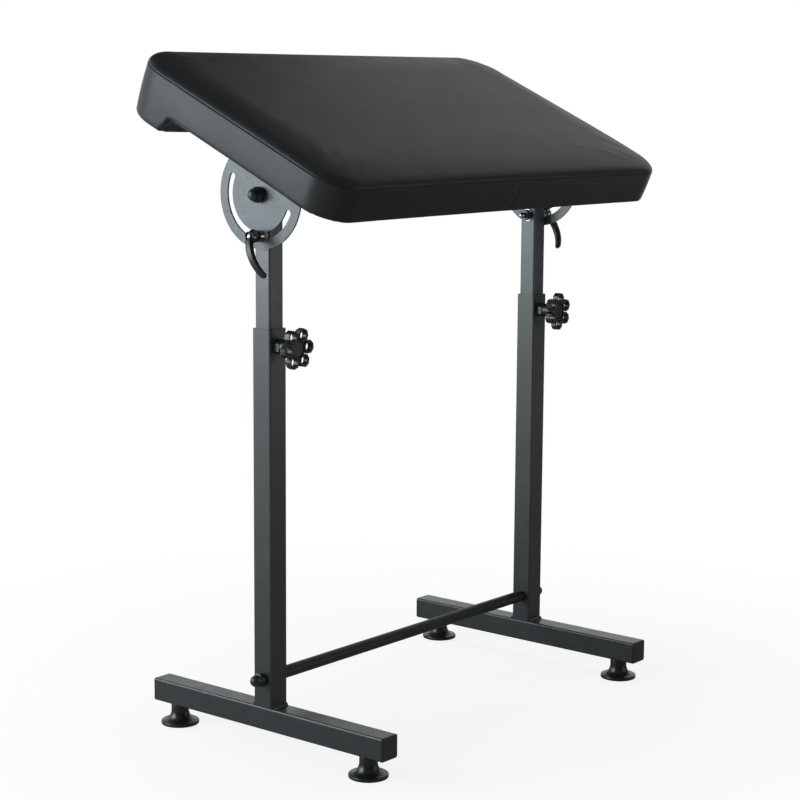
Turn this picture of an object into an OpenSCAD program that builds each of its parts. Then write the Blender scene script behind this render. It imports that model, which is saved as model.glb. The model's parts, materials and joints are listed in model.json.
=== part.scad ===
// Height-adjustable arm rest stand with a tilting padded top, held by two quick-release clamps.
// Lengths are in millimetres, +Z is up and the low front edge of the pad faces -Y.
// The origin is on the floor, at the middle of the stand's footprint.

/* [Base frame] */
// Distance between the two posts, centre to centre
post_spacing = 556; // [500:1:600]
// Length of each base bar, without its end caps
bar_len = 389; // [380:1:430]
// Outer width of the square tube of the base bars and outer posts
tube_w = 30; // [29:1:34]
// Wall of that tube
tube_wall = 1.5; // [1.2:0.1:1.8]
// Outer corner radius of that tube
tube_corner = 2.5; // [2:0.1:3]
// Length of each outer post, above its base bar
post_len = 483; // [420:1:560]
// Size of the weld bead at the foot of each outer post
weld_leg = 4; // [3:0.5:5]
// Thickness of the visible head of a base bar's end cap
end_cap_t = 3; // [2:0.5:4]
// Depth of an end cap's plug inside the bar
end_cap_plug = 13; // [10:1:16]

/* [Cross bar] */
// Height of the cross bar's axis above the base bars
cross_bar_rise = 37; // [25:1:70]
// Outer diameter of the cross bar
cross_bar_d = 16; // [15:1:20]
// Wall of the cross bar
cross_bar_wall = 1.5; // [1.2:0.1:1.8]
// Length of the threaded plug in each end of the cross bar
cross_plug_len = 22; // [18:1:30]

/* [Levelling feet] */
// Diameter of a foot on the floor
foot_d = 50; // [44:1:54]
// Height of a foot, which is also the height of the base bars above the floor
foot_h = 28; // [26:1:36]
// Height of the rim of a foot
foot_rim = 5; // [4:0.5:7]
// Diameter of the collar under the base bar
foot_collar_d = 23; // [20:1:26]
// Distance from the end of the base bar's tube to the axis of a foot
foot_inset = 31; // [28:1:60]
// How far a foot can be screwed down
foot_travel = 12; // [8:1:14]

/* [Telescoping posts] */
// Outer width of the square inner posts
inner_w = 25; // [24:0.5:25.5]
// Wall of the inner posts
inner_wall = 1.5; // [1.2:0.1:1.8]
// Outer corner radius of the inner posts
inner_corner = 2.5; // [2:0.1:3]
// Height of the tilt pivot above the tops of the outer posts
post_reach = 165; // [130:1:330]
// Length of an inner post above the tilt pivot
post_head = 14; // [13.5:0.5:16]
// Length of an inner post below the top of its outer post
post_depth = 280; // [240:1:300]

/* [Star knobs] */
// Distance from the top of an outer post to the axis of its star knob
knob_drop = 22; // [20:1:60]
// Radius of the circle that the knob's six rings are centred on
knob_ring_r = 18; // [17:0.1:19]
// Width of each eight-sided ring of a knob
knob_ring_w = 16.2; // [15.4:0.2:17]
// Diameter of the hole in each ring
knob_hole_d = 11.2; // [10:0.2:12]
// Thickness of a knob's rings
knob_t = 8; // [7:0.5:10]
// Distance from the post's face to the back of the rings
knob_stand = 27; // [24:1:34]
// Diameter of the neck behind a knob
knob_neck_d = 19; // [17:0.5:21]
// Turn of the left knob at rest
left_knob_turn = 4; // [0:1:59]
// Turn of the right knob at rest
right_knob_turn = 25; // [0:1:59]
// Diameter of the knobs' screws
knob_screw_d = 10; // [8:1:10]

/* [Tilt plates] */
// Tilt of the pad, front edge down
tilt = 24.5; // [0:0.5:60]
// Outer radius of a tilt plate, about the pivot
plate_r = 67; // [64:0.5:72]
// Thickness of a tilt plate
plate_t = 2.5; // [2:0.1:3]
// Radius of the middle of the arc slot, about the pivot
slot_r = 50.5; // [49:0.5:54]
// Sweep of the arc slot to each side of the plate's middle
slot_half_sweep = 90; // [80:1:91]
// Distance from the pivot to the underside of the pad
pad_under_h = 40; // [38:0.5:46]
// Width of the flange that is screwed under the pad
flange_w = 25; // [22:1:30]
// Outer radius of the bend between plate and flange
bend_r = 3; // [3:0.1:4]
// Corner radius of the flange
flange_corner = 8; // [4:1:9]

/* [Clamp levers] */
// Diameter of the pivot bolts and clamp rods
rod_d = 8; // [7:0.5:8]
// Diameter of the turned-down end of a clamp rod, inside its lever
rod_neck_d = 6; // [5:0.5:6]
// Diameter of a lever's round cam
cam_d = 16; // [15.5:0.5:18]
// Offset of the cam's centre from its pin
cam_throw = 0.8; // [0.5:0.1:1]
// Width of a lever's cam along its pin
cam_w = 13; // [12:0.5:15]
// Diameter of the cross pin that a lever turns on
cross_pin_d = 11; // [10.5:0.5:11.5]
// Distance from the pin to the tip of a lever
lever_len = 54.5; // [50:0.5:62]
// How far the middle of a lever bows outward from its pin
lever_bow = 10; // [9:0.5:12]
// Distance from the pin to the outermost point of the bow
lever_apex = 22; // [18:1:24]
// Radius that a lever is bent to
lever_bend_r = 46; // [42:1:52]
// Thickness of a lever at its root
lever_root_t = 7.2; // [6.6:0.2:9]
// Thickness of a lever near its tip
lever_tip_t = 5.4; // [5:0.2:6.4]
// Width of a lever's grip
lever_grip_w = 9; // [8:0.2:11]
// Lean of the levers toward the front at rest
lever_lean = 25; // [0:1:30]

/* [Pad] */
// How far the pad reaches past the middle of each post
pad_overhang = 72; // [55:1:90]
// Distance from the pivot to the front face of the pad, along the pad
pad_front = 154; // [150:1:170]
// Distance from the pivot to the rear face of the pad, along the pad
pad_rear = 222; // [205:1:224]
// Corner radius of the pad at the front
pad_front_corner = 47; // [35:1:60]
// Corner radius of the pad at the rear
pad_rear_corner = 58; // [45:1:64]
// Height of the side panel, from the underside to the seam
pad_side_h = 42.5; // [38:0.5:50]
// Height from the seam to the edge of the top
pad_roll_h = 8.5; // [6:0.5:10]
// Radius of the pad's bottom edge
pad_edge_r = 3.5; // [2.5:0.5:6]
// Radius of the bottom edge round the rear lip
lip_edge_r = 9; // [5:0.5:12]
// Rise of the top from its edge to its middle
pad_crown = 7; // [3:0.5:9]
// How far the long sides are drawn in at their middles
pad_draw_in = 2; // [0:0.5:4]
// Depth of the rear lip below the underside
lip_depth = 24; // [16:0.5:26]
// Distance from the rear face to the front of the lip's flat bottom
lip_run = 74; // [60:1:80]
// Width of the step from the lip's bottom up to the underside
lip_step = 18; // [14:1:34]
// Thickness of the plywood board inside the pad
board_t = 12; // [9:1:15]
// Thickness of the cover under the board
cover_t = 1.2; // [0.8:0.1:1.6]

/* [Hidden] */

$fn = 64;

// Clearances: a shaft that turns in its bore, flat faces that slide, a moulded or pressed-in piece,
// a loose bolt hole, and the rod in the arc slot
run_fit = 0.05;
face_gap = 0.05;
press_fit = 0.02;
bolt_gap = 0.25;
slot_gap = 0.3;
// Gap round the board inside the cushion, and round the edge of the cover
pad_gap = 0.3;
// Overrun of every cut past the face that it cuts
over = 1;
// Straight pieces in each rounded tube corner
corner_steps = 4;

// Nuts, heads, washers and caps, and what is left between a knob's hub and the holes of its rings
nut_af = 13;
nut_h = 6.5;
lock_nut_h = 8;
bolt_head_h = 5.5;
washer_d = 17;
washer_t = 1.6;
spacer_d = 20;
spacer_t = 0.95;
knob_nut_af = 17;
knob_nut_h = 8.4;
bolt_tip = 3;
cap_wall = 1.4;
pivot_cap_base_h = 5;
pivot_dome_d = 17;
clamp_washer_d = 15;
hub_gap = 0.4;

// Places that follow from the sizes
post_x = post_spacing / 2;
bar_top = foot_h + tube_w;
post_top = bar_top + post_len;
pivot_z = post_top + post_reach;
clamp_z = pivot_z - slot_r;
knob_z = post_top - knob_drop;
cross_z = bar_top + cross_bar_rise;
foot_y = bar_len / 2 - foot_inset;
inner_face_x = post_x + inner_w / 2;
inner_back_x = post_x - inner_w / 2;
plate_in_x = inner_face_x + spacer_t + face_gap;
plate_out_x = plate_in_x + plate_t;
washer_out_x = plate_out_x + face_gap + washer_t;

// Cam: the seat's lowest line, the cam's centre and the pin's axis, from the plate outward
saddle_d = 15;
saddle_floor = 4.5;
saddle_seat_r = 12;
cam_gap = 0.15;
seat_x = washer_out_x + saddle_floor;
cam_x = seat_x + cam_gap + cam_d / 2;
pin_x = cam_x + cam_throw;
saddle_lip = 1.8;
pin_dome_h = 1.8;
cam_edge_r = 2.4;
rod_end_past_pin = 2;
rod_tip_past_nut = 9;
cam_slot_w = rod_neck_d + 2 * slot_gap;

// Screws of the tilt plates: their places along the flange, and their sizes
screw_place_shares = [-0.8, -0.28, 0.28, 0.8];
screw_d = 4;
screw_head_d = 8;
screw_head_h = 2.4;
screw_bite_share = 0.8;
screw_x = plate_out_x - flange_w / 2 - bend_r / 2;

// Pad: its width, and heights above the pivot in the pad's own frame
pad_w = post_spacing + 2 * pad_overhang;
board_z = pad_under_h + cover_t;
seam_z = pad_under_h + pad_side_h;
edge_z = seam_z + pad_roll_h;
lip_end_y = pad_rear - lip_run - lip_step;
cover_rear_y = lip_end_y - lip_step;
cover_inset = 30;
board_inset = 14;
cover_corner = 20;
pad_corner_steps = 7;

// Sizes of the pad's rings, and their places across the bottom edge, the rolled edge and the crown
side_bulge_w = 0.8;
seam_sink = 1.4;
seam_w = 3;
roll_in = 16;
bottom_in_shares = [1, 0.35, 0];
bottom_up_shares = [0, 0.25, 1];
roll_in_shares = [0, 0.1, 0.4, 1];
roll_up_shares = [0.1, 0.5, 0.85, 1];
crown_size_shares = [0.8, 0.5, 0.22];
crown_up_shares = [0.38, 0.78, 0.96];

// Outlines

// Four-sided outline about the origin, w by h, with rounded corners
function rounded_rect(w, h, r, steps = corner_steps) = [
    for (c = [0 : 3], i = [0 : steps])
        let (a = 90 * c + 90 * i / steps, sx = (c == 0 || c == 3) ? 1 : -1, sy = c < 2 ? 1 : -1)
            [sx * (w / 2 - r) + r * cos(a), sy * (h / 2 - r) + r * sin(a)]
];

// Arc of points about a centre, from angle a to angle b
function arc(cx, cy, r, a, b, steps) = [
    for (i = [0 : steps]) let (t = a + (b - a) * i / steps) [cx + r * cos(t), cy + r * sin(t)]
];

// Side profile of a domed cap: a base, a narrower neck and a round end, on the axis at y = 0
function dome_profile(base_r, base_len, neck_r, total, edge) = concat(
    [[0, 0], [base_r, 0], [base_r, base_len - edge], [base_r - edge, base_len], [neck_r, base_len]],
    arc(0, total - neck_r, neck_r, 0, 90, 8)
);

// Helpers

// Draws its children on the right, or mirrored on the left
module on_side(side) {
    if (side < 0) mirror([1, 0, 0]) children();
    else children();
}

// Straight square tube along Z
module square_tube(w, wall, corner, length) {
    linear_extrude(length) difference() {
        polygon(rounded_rect(w, w, corner));
        polygon(rounded_rect(w - 2 * wall, w - 2 * wall, max(corner - wall, corner / 4)));
    }
}

// Round bar or hole along X, from x0 to x1
module rod_x(d, x0, x1) {
    translate([x0, 0, 0]) rotate([0, 90, 0]) cylinder(d = d, h = x1 - x0);
}

// Hexagon along X, from x0, measured across its flats
module hex_x(af, x0, h) {
    translate([x0, 0, 0]) rotate([0, 90, 0]) cylinder(d = af / cos(30), h = h, $fn = 6);
}

// Flat ring along X, from x0
module ring_x(d, bore, x0, t) {
    difference() {
        rod_x(d, x0, x0 + t);
        rod_x(bore, x0 - over, x0 + t + over);
    }
}

// Puts its children in the pad's frame, tilted about the pivot
module in_pad_frame() {
    translate([0, 0, pivot_z]) rotate([tilt, 0, 0]) children();
}

// Base frame

module base_bar(side) {
    color([0.13, 0.14, 0.15]) difference() {
        translate([side * post_x, bar_len / 2, foot_h + tube_w / 2])
            rotate([90, 0, 0]) square_tube(tube_w, tube_wall, tube_corner, bar_len);
        for (end = [-1, 1]) translate([side * post_x, end * foot_y, foot_h - over])
            cylinder(d = rod_d + 2 * bolt_gap, h = tube_wall + 2 * over);
    }
}

// Push-in cap for the end of a base bar: a bevelled head and a ribbed hollow plug
module end_cap(side, end) {
    plug_w = tube_w - 2 * tube_wall - 2 * pad_gap;
    plug_wall = 2;
    bevel = end_cap_t / 3;
    rib_h = 1.2;
    rib_out = pad_gap - press_fit;
    rib_shares = [0.25, 0.5, 0.75];
    plug_corner = max(tube_corner - tube_wall, tube_corner / 4);
    color([0.05, 0.05, 0.055]) translate([side * post_x, end * bar_len / 2, foot_h + tube_w / 2])
        rotate([-end * 90, 0, 0]) {
            hull() {
                linear_extrude(end_cap_t - bevel) polygon(rounded_rect(tube_w, tube_w, tube_corner));
                linear_extrude(end_cap_t)
                    polygon(rounded_rect(tube_w - 2 * bevel, tube_w - 2 * bevel, tube_corner));
            }
            mirror([0, 0, 1]) difference() {
                union() {
                    linear_extrude(end_cap_plug) polygon(rounded_rect(plug_w, plug_w, plug_corner));
                    for (s = rib_shares) translate([0, 0, s * end_cap_plug]) linear_extrude(rib_h)
                        polygon(rounded_rect(plug_w + 2 * rib_out, plug_w + 2 * rib_out, plug_corner));
                }
                translate([0, 0, plug_wall]) linear_extrude(end_cap_plug)
                    polygon(rounded_rect(plug_w - 2 * plug_wall, plug_w - 2 * plug_wall, plug_corner));
            }
        }
}

// Outer post, with its cross bar holes, its knob hole and the weld beads at its foot
module outer_post(side) {
    bead_half = tube_w / 2 - tube_corner;
    color([0.14, 0.15, 0.16]) translate([side * post_x, 0, 0]) {
        difference() {
            translate([0, 0, bar_top]) square_tube(tube_w, tube_wall, tube_corner, post_len);
            translate([0, 0, cross_z]) rod_x(rod_d + 2 * bolt_gap, -tube_w, tube_w);
            translate([0, 0, knob_z]) rotate([90, 0, 0])
                cylinder(d = knob_screw_d + 2 * bolt_gap, h = tube_w);
        }
        for (end = [-1, 1]) translate([-bead_half, end * tube_w / 2, bar_top])
            rotate([90, 0, 90]) linear_extrude(2 * bead_half)
                polygon(concat([[0, 0]], [
                    for (p = arc(0, 0, weld_leg, 0, 90, 4)) [end * p[0], p[1]]
                ]));
    }
}

// Cross bar and its fastenings

module cross_bar() {
    half = post_x - tube_w / 2;
    color([0.1, 0.1, 0.11]) translate([0, 0, cross_z]) difference() {
        rod_x(cross_bar_d, -half, half);
        rod_x(cross_bar_d - 2 * cross_bar_wall, -half - over, half + over);
    }
}

// Threaded plugs welded into the ends of the cross bar
module cross_bar_plugs() {
    half = post_x - tube_w / 2;
    plug_d = cross_bar_d - 2 * cross_bar_wall - 2 * press_fit;
    color([0.6, 0.6, 0.62]) for (side = [-1, 1]) on_side(side) translate([0, 0, cross_z])
        ring_x(plug_d, rod_d + 2 * press_fit, half - cross_plug_len, cross_plug_len);
}

module cross_bar_washers() {
    color([0.1, 0.1, 0.11]) for (side = [-1, 1]) on_side(side) translate([0, 0, cross_z])
        ring_x(washer_d, rod_d + 2 * bolt_gap, post_x + tube_w / 2, washer_t);
}

// Hexagon bolts from outside each post into the plugs
module cross_bar_bolts() {
    head_x = post_x + tube_w / 2 + washer_t;
    shank_x = post_x - tube_w / 2 - cross_plug_len * 0.8;
    color([0.55, 0.55, 0.57]) for (side = [-1, 1]) on_side(side) translate([0, 0, cross_z]) {
        rod_x(rod_d, shank_x, head_x);
        hex_x(nut_af, head_x, bolt_head_h);
    }
}

// Domed caps pushed over the heads of the cross bar bolts
module cross_bar_bolt_caps() {
    head_x = post_x + tube_w / 2 + washer_t;
    base_r = nut_af / cos(30) / 2 + cap_wall;
    color([0.04, 0.04, 0.045]) for (side = [-1, 1]) on_side(side) translate([0, 0, cross_z])
        difference() {
            translate([head_x, 0, 0]) rotate([0, 90, 0]) rotate_extrude()
                polygon(dome_profile(base_r, bolt_head_h + washer_t, base_r * 0.82, 2 * base_r, base_r / 8));
            hex_x(nut_af + 2 * run_fit, head_x - over, bolt_head_h + over + run_fit);
        }
}

// Levelling feet

// Nuts welded inside the base bars, over the feet
module foot_nuts() {
    color([0.6, 0.6, 0.62]) for (side = [-1, 1], end = [-1, 1])
        translate([side * post_x, end * foot_y, foot_h + tube_wall]) difference() {
            cylinder(d = nut_af / cos(30), h = nut_h, $fn = 6);
            translate([0, 0, -over]) cylinder(d = rod_d + 2 * run_fit, h = nut_h + 2 * over);
        }
}

// Trumpet-shaped foot, hollowed a little underneath, with a bore for its stud
module foot(side, end) {
    rim_r = foot_d / 2;
    collar_r = foot_collar_d / 2;
    flare_top = foot_h * 0.68;
    flare_r = rim_r * 0.9 - collar_r;
    rise = flare_top - foot_rim;
    sole_w = rim_r / 4;
    sole_up = foot_rim / 4;
    color([0.04, 0.04, 0.045]) translate([side * post_x, end * foot_y, 0]) difference() {
        rotate_extrude() polygon(concat(
            [[0, sole_up], [rim_r - sole_w, sole_up], [rim_r - sole_w, 0], [rim_r * 0.97, 0],
             [rim_r, rim_r * 0.03], [rim_r, foot_rim * 0.72], [rim_r * 0.97, foot_rim * 0.92]],
            [for (i = [0 : 7]) let (a = 90 * i / 7)
                [collar_r + flare_r * (1 - sin(a)), foot_rim + rise * (1 - cos(a))]],
            [[collar_r, foot_h - face_gap - rim_r * 0.03], [collar_r * 0.95, foot_h - face_gap],
             [0, foot_h - face_gap]]
        ));
        translate([0, 0, foot_h / 3]) cylinder(d = rod_d + 2 * press_fit, h = foot_h);
    }
}

module foot_stud(side, end) {
    stud_top = foot_h + tube_wall + nut_h + foot_travel;
    color([0.6, 0.6, 0.62]) translate([side * post_x, end * foot_y, foot_h / 3])
        cylinder(d = rod_d, h = stud_top - foot_h / 3);
}

// Star knobs

// Nuts welded on the front faces of the outer posts
module knob_nuts() {
    color([0.55, 0.55, 0.57]) for (side = [-1, 1])
        translate([side * post_x, -tube_w / 2, knob_z]) rotate([90, 30, 0]) difference() {
            cylinder(d = knob_nut_af / cos(30), h = knob_nut_h, $fn = 6);
            translate([0, 0, -over]) cylinder(d = knob_screw_d + 2 * run_fit, h = knob_nut_h + 2 * over);
        }
}

// Puts its children at a knob, with the knob's axis along Z and the post's face at z = 0
module at_knob(side, turn) {
    translate([side * post_x, -tube_w / 2, knob_z]) rotate([90, 0, 0]) rotate([0, 0, turn]) children();
}

// Star knob: six open eight-sided rings round a recessed hub, on a neck
module star_knob(side, turn) {
    hub_r = knob_ring_r - knob_hole_d / 2 - hub_gap;
    dish = knob_t * 0.14;
    neck_back = knob_nut_h + knob_screw_d * 0.15;
    color([0.045, 0.045, 0.05]) at_knob(side, turn) difference() {
        union() {
            translate([0, 0, knob_stand]) {
                for (k = [0 : 5]) rotate([0, 0, 60 * k]) translate([knob_ring_r, 0, 0])
                    rotate([0, 0, 22.5]) cylinder(d = knob_ring_w / cos(22.5), h = knob_t, $fn = 8);
                translate([0, 0, dish]) cylinder(r = hub_r, h = knob_t - 2 * dish);
            }
            translate([0, 0, neck_back]) cylinder(d = knob_neck_d, h = knob_stand + knob_t / 2 - neck_back);
        }
        for (k = [0 : 5]) rotate([0, 0, 60 * k]) translate([knob_ring_r, 0, knob_stand - over])
            cylinder(d = knob_hole_d, h = knob_t + 2 * over);
        translate([0, 0, knob_stand + knob_t - dish]) cylinder(r = hub_r - dish, h = knob_t);
        translate([0, 0, neck_back - over])
            cylinder(d = knob_screw_d + 2 * press_fit, h = knob_stand + knob_t / 2 - neck_back + over);
    }
}

// Screw from inside the knob to just short of the inner post
module knob_screw(side, turn) {
    reach = (tube_w - inner_w) / 2 - face_gap;
    color([0.6, 0.6, 0.62]) at_knob(side, turn) translate([0, 0, -reach])
        cylinder(d = knob_screw_d, h = reach + knob_stand + knob_t / 2);
}

// Telescoping posts

module inner_post(side) {
    post_low = post_top - post_depth;
    color([0.3, 0.32, 0.34]) translate([side * post_x, 0, 0]) difference() {
        translate([0, 0, post_low])
            square_tube(inner_w, inner_wall, inner_corner, pivot_z + post_head - post_low);
        for (z = [pivot_z, clamp_z]) translate([0, 0, z]) rod_x(rod_d + 2 * bolt_gap, -inner_w, inner_w);
    }
}

// Plug in the top of an inner post
module post_plug(side) {
    plug_w = inner_w - 2 * inner_wall - 2 * press_fit;
    head_t = inner_wall * 1.5;
    plug_len = post_head * 0.55;
    plug_corner = max(inner_corner - inner_wall, inner_corner / 4);
    color([0.05, 0.05, 0.055]) translate([side * post_x, 0, pivot_z + post_head]) {
        linear_extrude(head_t) polygon(rounded_rect(inner_w, inner_w, inner_corner));
        translate([0, 0, -plug_len]) linear_extrude(plug_len)
            polygon(rounded_rect(plug_w, plug_w, plug_corner));
    }
}

// Tilt pivots

// Bolt through an inner post and its tilt plate, head inboard
module pivot_bolt(side) {
    head_x = inner_back_x - washer_t - bolt_head_h;
    color([0.55, 0.55, 0.57]) on_side(side) translate([0, 0, pivot_z]) {
        hex_x(nut_af, head_x, bolt_head_h);
        rod_x(rod_d, head_x + bolt_head_h, washer_out_x + nut_h + bolt_tip);
    }
}

// Washers under each pivot bolt's head and under its nut
module pivot_washers() {
    color([0.6, 0.6, 0.62]) for (side = [-1, 1]) on_side(side) translate([0, 0, pivot_z]) {
        ring_x(washer_d, rod_d + 2 * run_fit, inner_back_x - washer_t, washer_t);
        ring_x(washer_d, rod_d + 2 * run_fit, washer_out_x - washer_t, washer_t);
    }
}

module pivot_nuts() {
    color([0.6, 0.6, 0.62]) for (side = [-1, 1]) on_side(side) translate([0, 0, pivot_z]) difference() {
        hex_x(nut_af, washer_out_x, nut_h);
        rod_x(rod_d + 2 * press_fit, washer_out_x - over, washer_out_x + nut_h + over);
    }
}

// Domed cap over a pivot nut
module pivot_cap(side) {
    base_r = spacer_d / 2;
    total = nut_h + bolt_tip + nut_h;
    color([0.04, 0.04, 0.045]) on_side(side) translate([0, 0, pivot_z]) difference() {
        translate([washer_out_x, 0, 0]) rotate([0, 90, 0]) rotate_extrude()
            polygon(dome_profile(base_r, pivot_cap_base_h, pivot_dome_d / 2, total, base_r / 5));
        hex_x(nut_af + 2 * run_fit, washer_out_x - over, nut_h + over + run_fit);
        rod_x(rod_d + 2 * run_fit, washer_out_x, washer_out_x + nut_h + bolt_tip + run_fit);
    }
}

// Thin washers between each inner post and its tilt plate, at the pivot and at the clamp
module friction_washers() {
    color([0.75, 0.75, 0.72]) for (side = [-1, 1], z = [pivot_z, clamp_z]) on_side(side)
        translate([0, 0, z]) ring_x(spacer_d, rod_d + 2 * run_fit, inner_face_x, spacer_t);
}

// Clamps

// Rod from the cross pin through the arc slot and the inner post, turned down inside the lever's slot,
// with a round end past its nut
module clamp_rod(side) {
    end_x = pin_x + rod_end_past_pin;
    length = end_x - (inner_back_x - washer_t - lock_nut_h - rod_tip_past_nut);
    color([0.75, 0.75, 0.77]) on_side(side) translate([end_x, 0, clamp_z])
        rotate([0, -90, 0]) rotate_extrude() polygon(concat(
            [[0, 0], [rod_neck_d / 2, 0], [rod_neck_d / 2, end_x - seat_x], [rod_d / 2, end_x - seat_x]],
            arc(0, length - rod_d / 2, rod_d / 2, 0, 90, 6)
        ));
}

// Puts its children at a clamp pin, leaned with the lever: X outboard, Y along the pin, Z up the lever
module at_clamp(side) {
    on_side(side) translate([pin_x, 0, clamp_z]) rotate([-lever_lean, 0, 0]) children();
}

// Cross pin that the lever turns on, with a domed end on each side, drilled for the rod
module cross_pin(side) {
    half = cam_w / 2;
    r = cross_pin_d / 2;
    dome = [for (p = arc(0, 0, r, 0, 90, 6)) [p[0], half + p[1] * pin_dome_h / r]];
    color([0.8, 0.8, 0.82]) at_clamp(side) difference() {
        rotate([90, 0, 0]) rotate_extrude() polygon(concat(
            dome, [for (i = [len(dome) - 1 : -1 : 0]) [dome[i][0], -dome[i][1]]]));
        rod_x(rod_neck_d + 2 * press_fit, -cross_pin_d, rod_end_past_pin + press_fit);
    }
}

// Thick round seat between washer and cam, hollowed to a wider radius than the cam's
module cam_saddle(side) {
    color([0.7, 0.7, 0.72]) difference() {
        on_side(side) translate([0, 0, clamp_z])
            ring_x(saddle_d, rod_d + 2 * run_fit, washer_out_x, saddle_floor + saddle_lip);
        at_clamp(side) translate([seat_x + saddle_seat_r - pin_x, 0, 0])
            rotate([90, 0, 0]) cylinder(r = saddle_seat_r, h = saddle_d + 2 * over, center = true);
    }
}

// Washers on each tilt plate and behind each inner post, on the clamp rods
module clamp_washers() {
    color([0.7, 0.7, 0.72]) for (side = [-1, 1]) on_side(side) translate([0, 0, clamp_z]) {
        ring_x(clamp_washer_d, rod_d + 2 * run_fit, washer_out_x - washer_t, washer_t);
        ring_x(washer_d, rod_d + 2 * run_fit, inner_back_x - washer_t, washer_t);
    }
}

module clamp_nuts() {
    nut_x = inner_back_x - washer_t - lock_nut_h;
    color([0.08, 0.08, 0.085]) for (side = [-1, 1]) on_side(side) translate([0, 0, clamp_z]) difference() {
        hex_x(nut_af, nut_x, lock_nut_h);
        rod_x(rod_d + 2 * press_fit, nut_x - over, nut_x + lock_nut_h + over);
    }
}

// Side outline of a lever's grip, bowed outward: an arc of tapering thickness with a round tip
function grip_half_t(t) = (lever_root_t + (lever_tip_t - lever_root_t) * t) / 2;
function grip_angle(t) = let (a = asin(-lever_apex / lever_bend_r), tip = lever_len - lever_tip_t / 2,
    b = asin((tip - lever_apex) / lever_bend_r)) a + (b - a) * t;
function grip_point(t, out) = let (a = grip_angle(t), r = lever_bend_r + out)
    [lever_bow - lever_bend_r + r * cos(a), -lever_apex - r * sin(a)];
grip_steps = 10;
grip_tip_steps = 6;
function grip_outline() = concat(
    [for (i = [0 : grip_steps]) grip_point(i / grip_steps, grip_half_t(i / grip_steps))],
    [for (i = [1 : grip_tip_steps - 1])
        let (c = grip_point(1, 0), a = -grip_angle(1) - 180 * i / grip_tip_steps)
            c + grip_half_t(1) * [cos(a), sin(a)]],
    [for (i = [grip_steps : -1 : 0]) grip_point(i / grip_steps, -grip_half_t(i / grip_steps))]
);

// Front outline of a lever: as wide as the cam at the pin, then waisted to the grip, with a round tip
function lever_width_outline() = let (
    tip_r = lever_grip_w * 0.45,
    half = [for (p = [[-cam_d / 2, cam_w / 2], [cam_d * 0.3, cam_w / 2], [cam_d * 0.6, cam_w * 0.42],
        [cam_d * 0.95, lever_grip_w * 0.53], [lever_len * 0.6, lever_grip_w * 0.5],
        [lever_len - tip_r, tip_r]]) p],
    tip = arc(lever_len - tip_r, 0, tip_r, 90, 0, 4)
) concat([for (p = half) [p[1], -p[0]]], [for (p = tip) [p[1], -p[0]]],
    [for (i = [len(tip) - 2 : -1 : 0]) [-tip[i][1], -tip[i][0]]],
    [for (i = [len(half) - 2 : -1 : 0]) [-half[i][1], -half[i][0]]]);

// Quick-release lever: a slotted round cam with a bowed grip
module clamp_lever(side) {
    color([0.05, 0.05, 0.055]) at_clamp(side) difference() {
        union() {
            translate([-cam_throw, 0, 0]) rotate([90, 0, 0]) rotate_extrude() polygon(concat(
                [[0, -cam_w / 2]],
                arc(cam_d / 2 - cam_edge_r, cam_edge_r - cam_w / 2, cam_edge_r, -90, 0, 4),
                arc(cam_d / 2 - cam_edge_r, cam_w / 2 - cam_edge_r, cam_edge_r, 0, 90, 4),
                [[0, cam_w / 2]]
            ));
            intersection() {
                rotate([90, 0, 0]) linear_extrude(2 * cam_w, center = true) polygon(grip_outline());
                rotate([90, 0, 90]) linear_extrude(4 * cam_d, center = true) polygon(lever_width_outline());
            }
        }
        rotate([90, 0, 0]) cylinder(d = cross_pin_d + 2 * run_fit, h = cam_w + 2 * over, center = true);
        translate([-2 * cam_d, -cam_slot_w / 2, -cam_slot_w / 2]) cube([4 * cam_d, cam_slot_w, 2 * cam_d]);
    }
}

// Tilt plates

// Outline of the arc slot about the pivot, open at neither end; x is the pad's Y and y its height
function slot_outline() = let (half = rod_d / 2 + slot_gap, steps = 40, s = slot_half_sweep)
    concat(
        arc(0, 0, slot_r + half, -90 - s, -90 + s, steps),
        [for (i = [1 : 5]) let (a = -90 + s + 30 * i)
            [slot_r * cos(-90 + s) + half * cos(a), slot_r * sin(-90 + s) + half * sin(a)]],
        arc(0, 0, slot_r - half, -90 + s, -90 - s, steps),
        [for (i = [1 : 5]) let (a = 90 - s + 30 * i)
            [slot_r * cos(-90 - s) + half * cos(a), slot_r * sin(-90 - s) + half * sin(a)]]
    );

// Half length of the flange, where the round plate meets the bend
bend_z = pad_under_h - bend_r;
flange_half = sqrt(pow(plate_r, 2) - pow(bend_z, 2));

// Round tilt plate with its arc slot, and a bent flange that is screwed under the pad
module tilt_plate(side) {
    color([0.55, 0.56, 0.57]) in_pad_frame() on_side(side) {
        difference() {
            translate([plate_in_x, 0, 0]) rotate([90, 0, 90]) linear_extrude(plate_t) difference() {
                intersection() {
                    circle(r = plate_r, $fn = 128);
                    translate([-plate_r - over, -plate_r - over])
                        square([2 * (plate_r + over), plate_r + over + bend_z]);
                }
                polygon(slot_outline());
                circle(d = rod_d + 2 * run_fit);
            }
        }
        translate([plate_out_x - bend_r, flange_half, bend_z]) rotate([90, 0, 0])
            linear_extrude(2 * flange_half)
                polygon(concat(arc(0, 0, bend_r, 0, 90, 5), arc(0, 0, bend_r - plate_t, 90, 0, 5)));
        difference() {
            translate([plate_out_x - flange_w, 0, pad_under_h - plate_t]) linear_extrude(plate_t)
                polygon(concat(
                    [[flange_w - bend_r, -flange_half], [flange_w - bend_r, flange_half]],
                    arc(flange_corner, flange_half - flange_corner, flange_corner, 90, 180, 5),
                    arc(flange_corner, flange_corner - flange_half, flange_corner, 180, 270, 5)
                ));
            screw_holes(screw_d + 2 * bolt_gap, pad_under_h - plate_t - over, plate_t + 2 * over);
        }
    }
}

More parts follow.
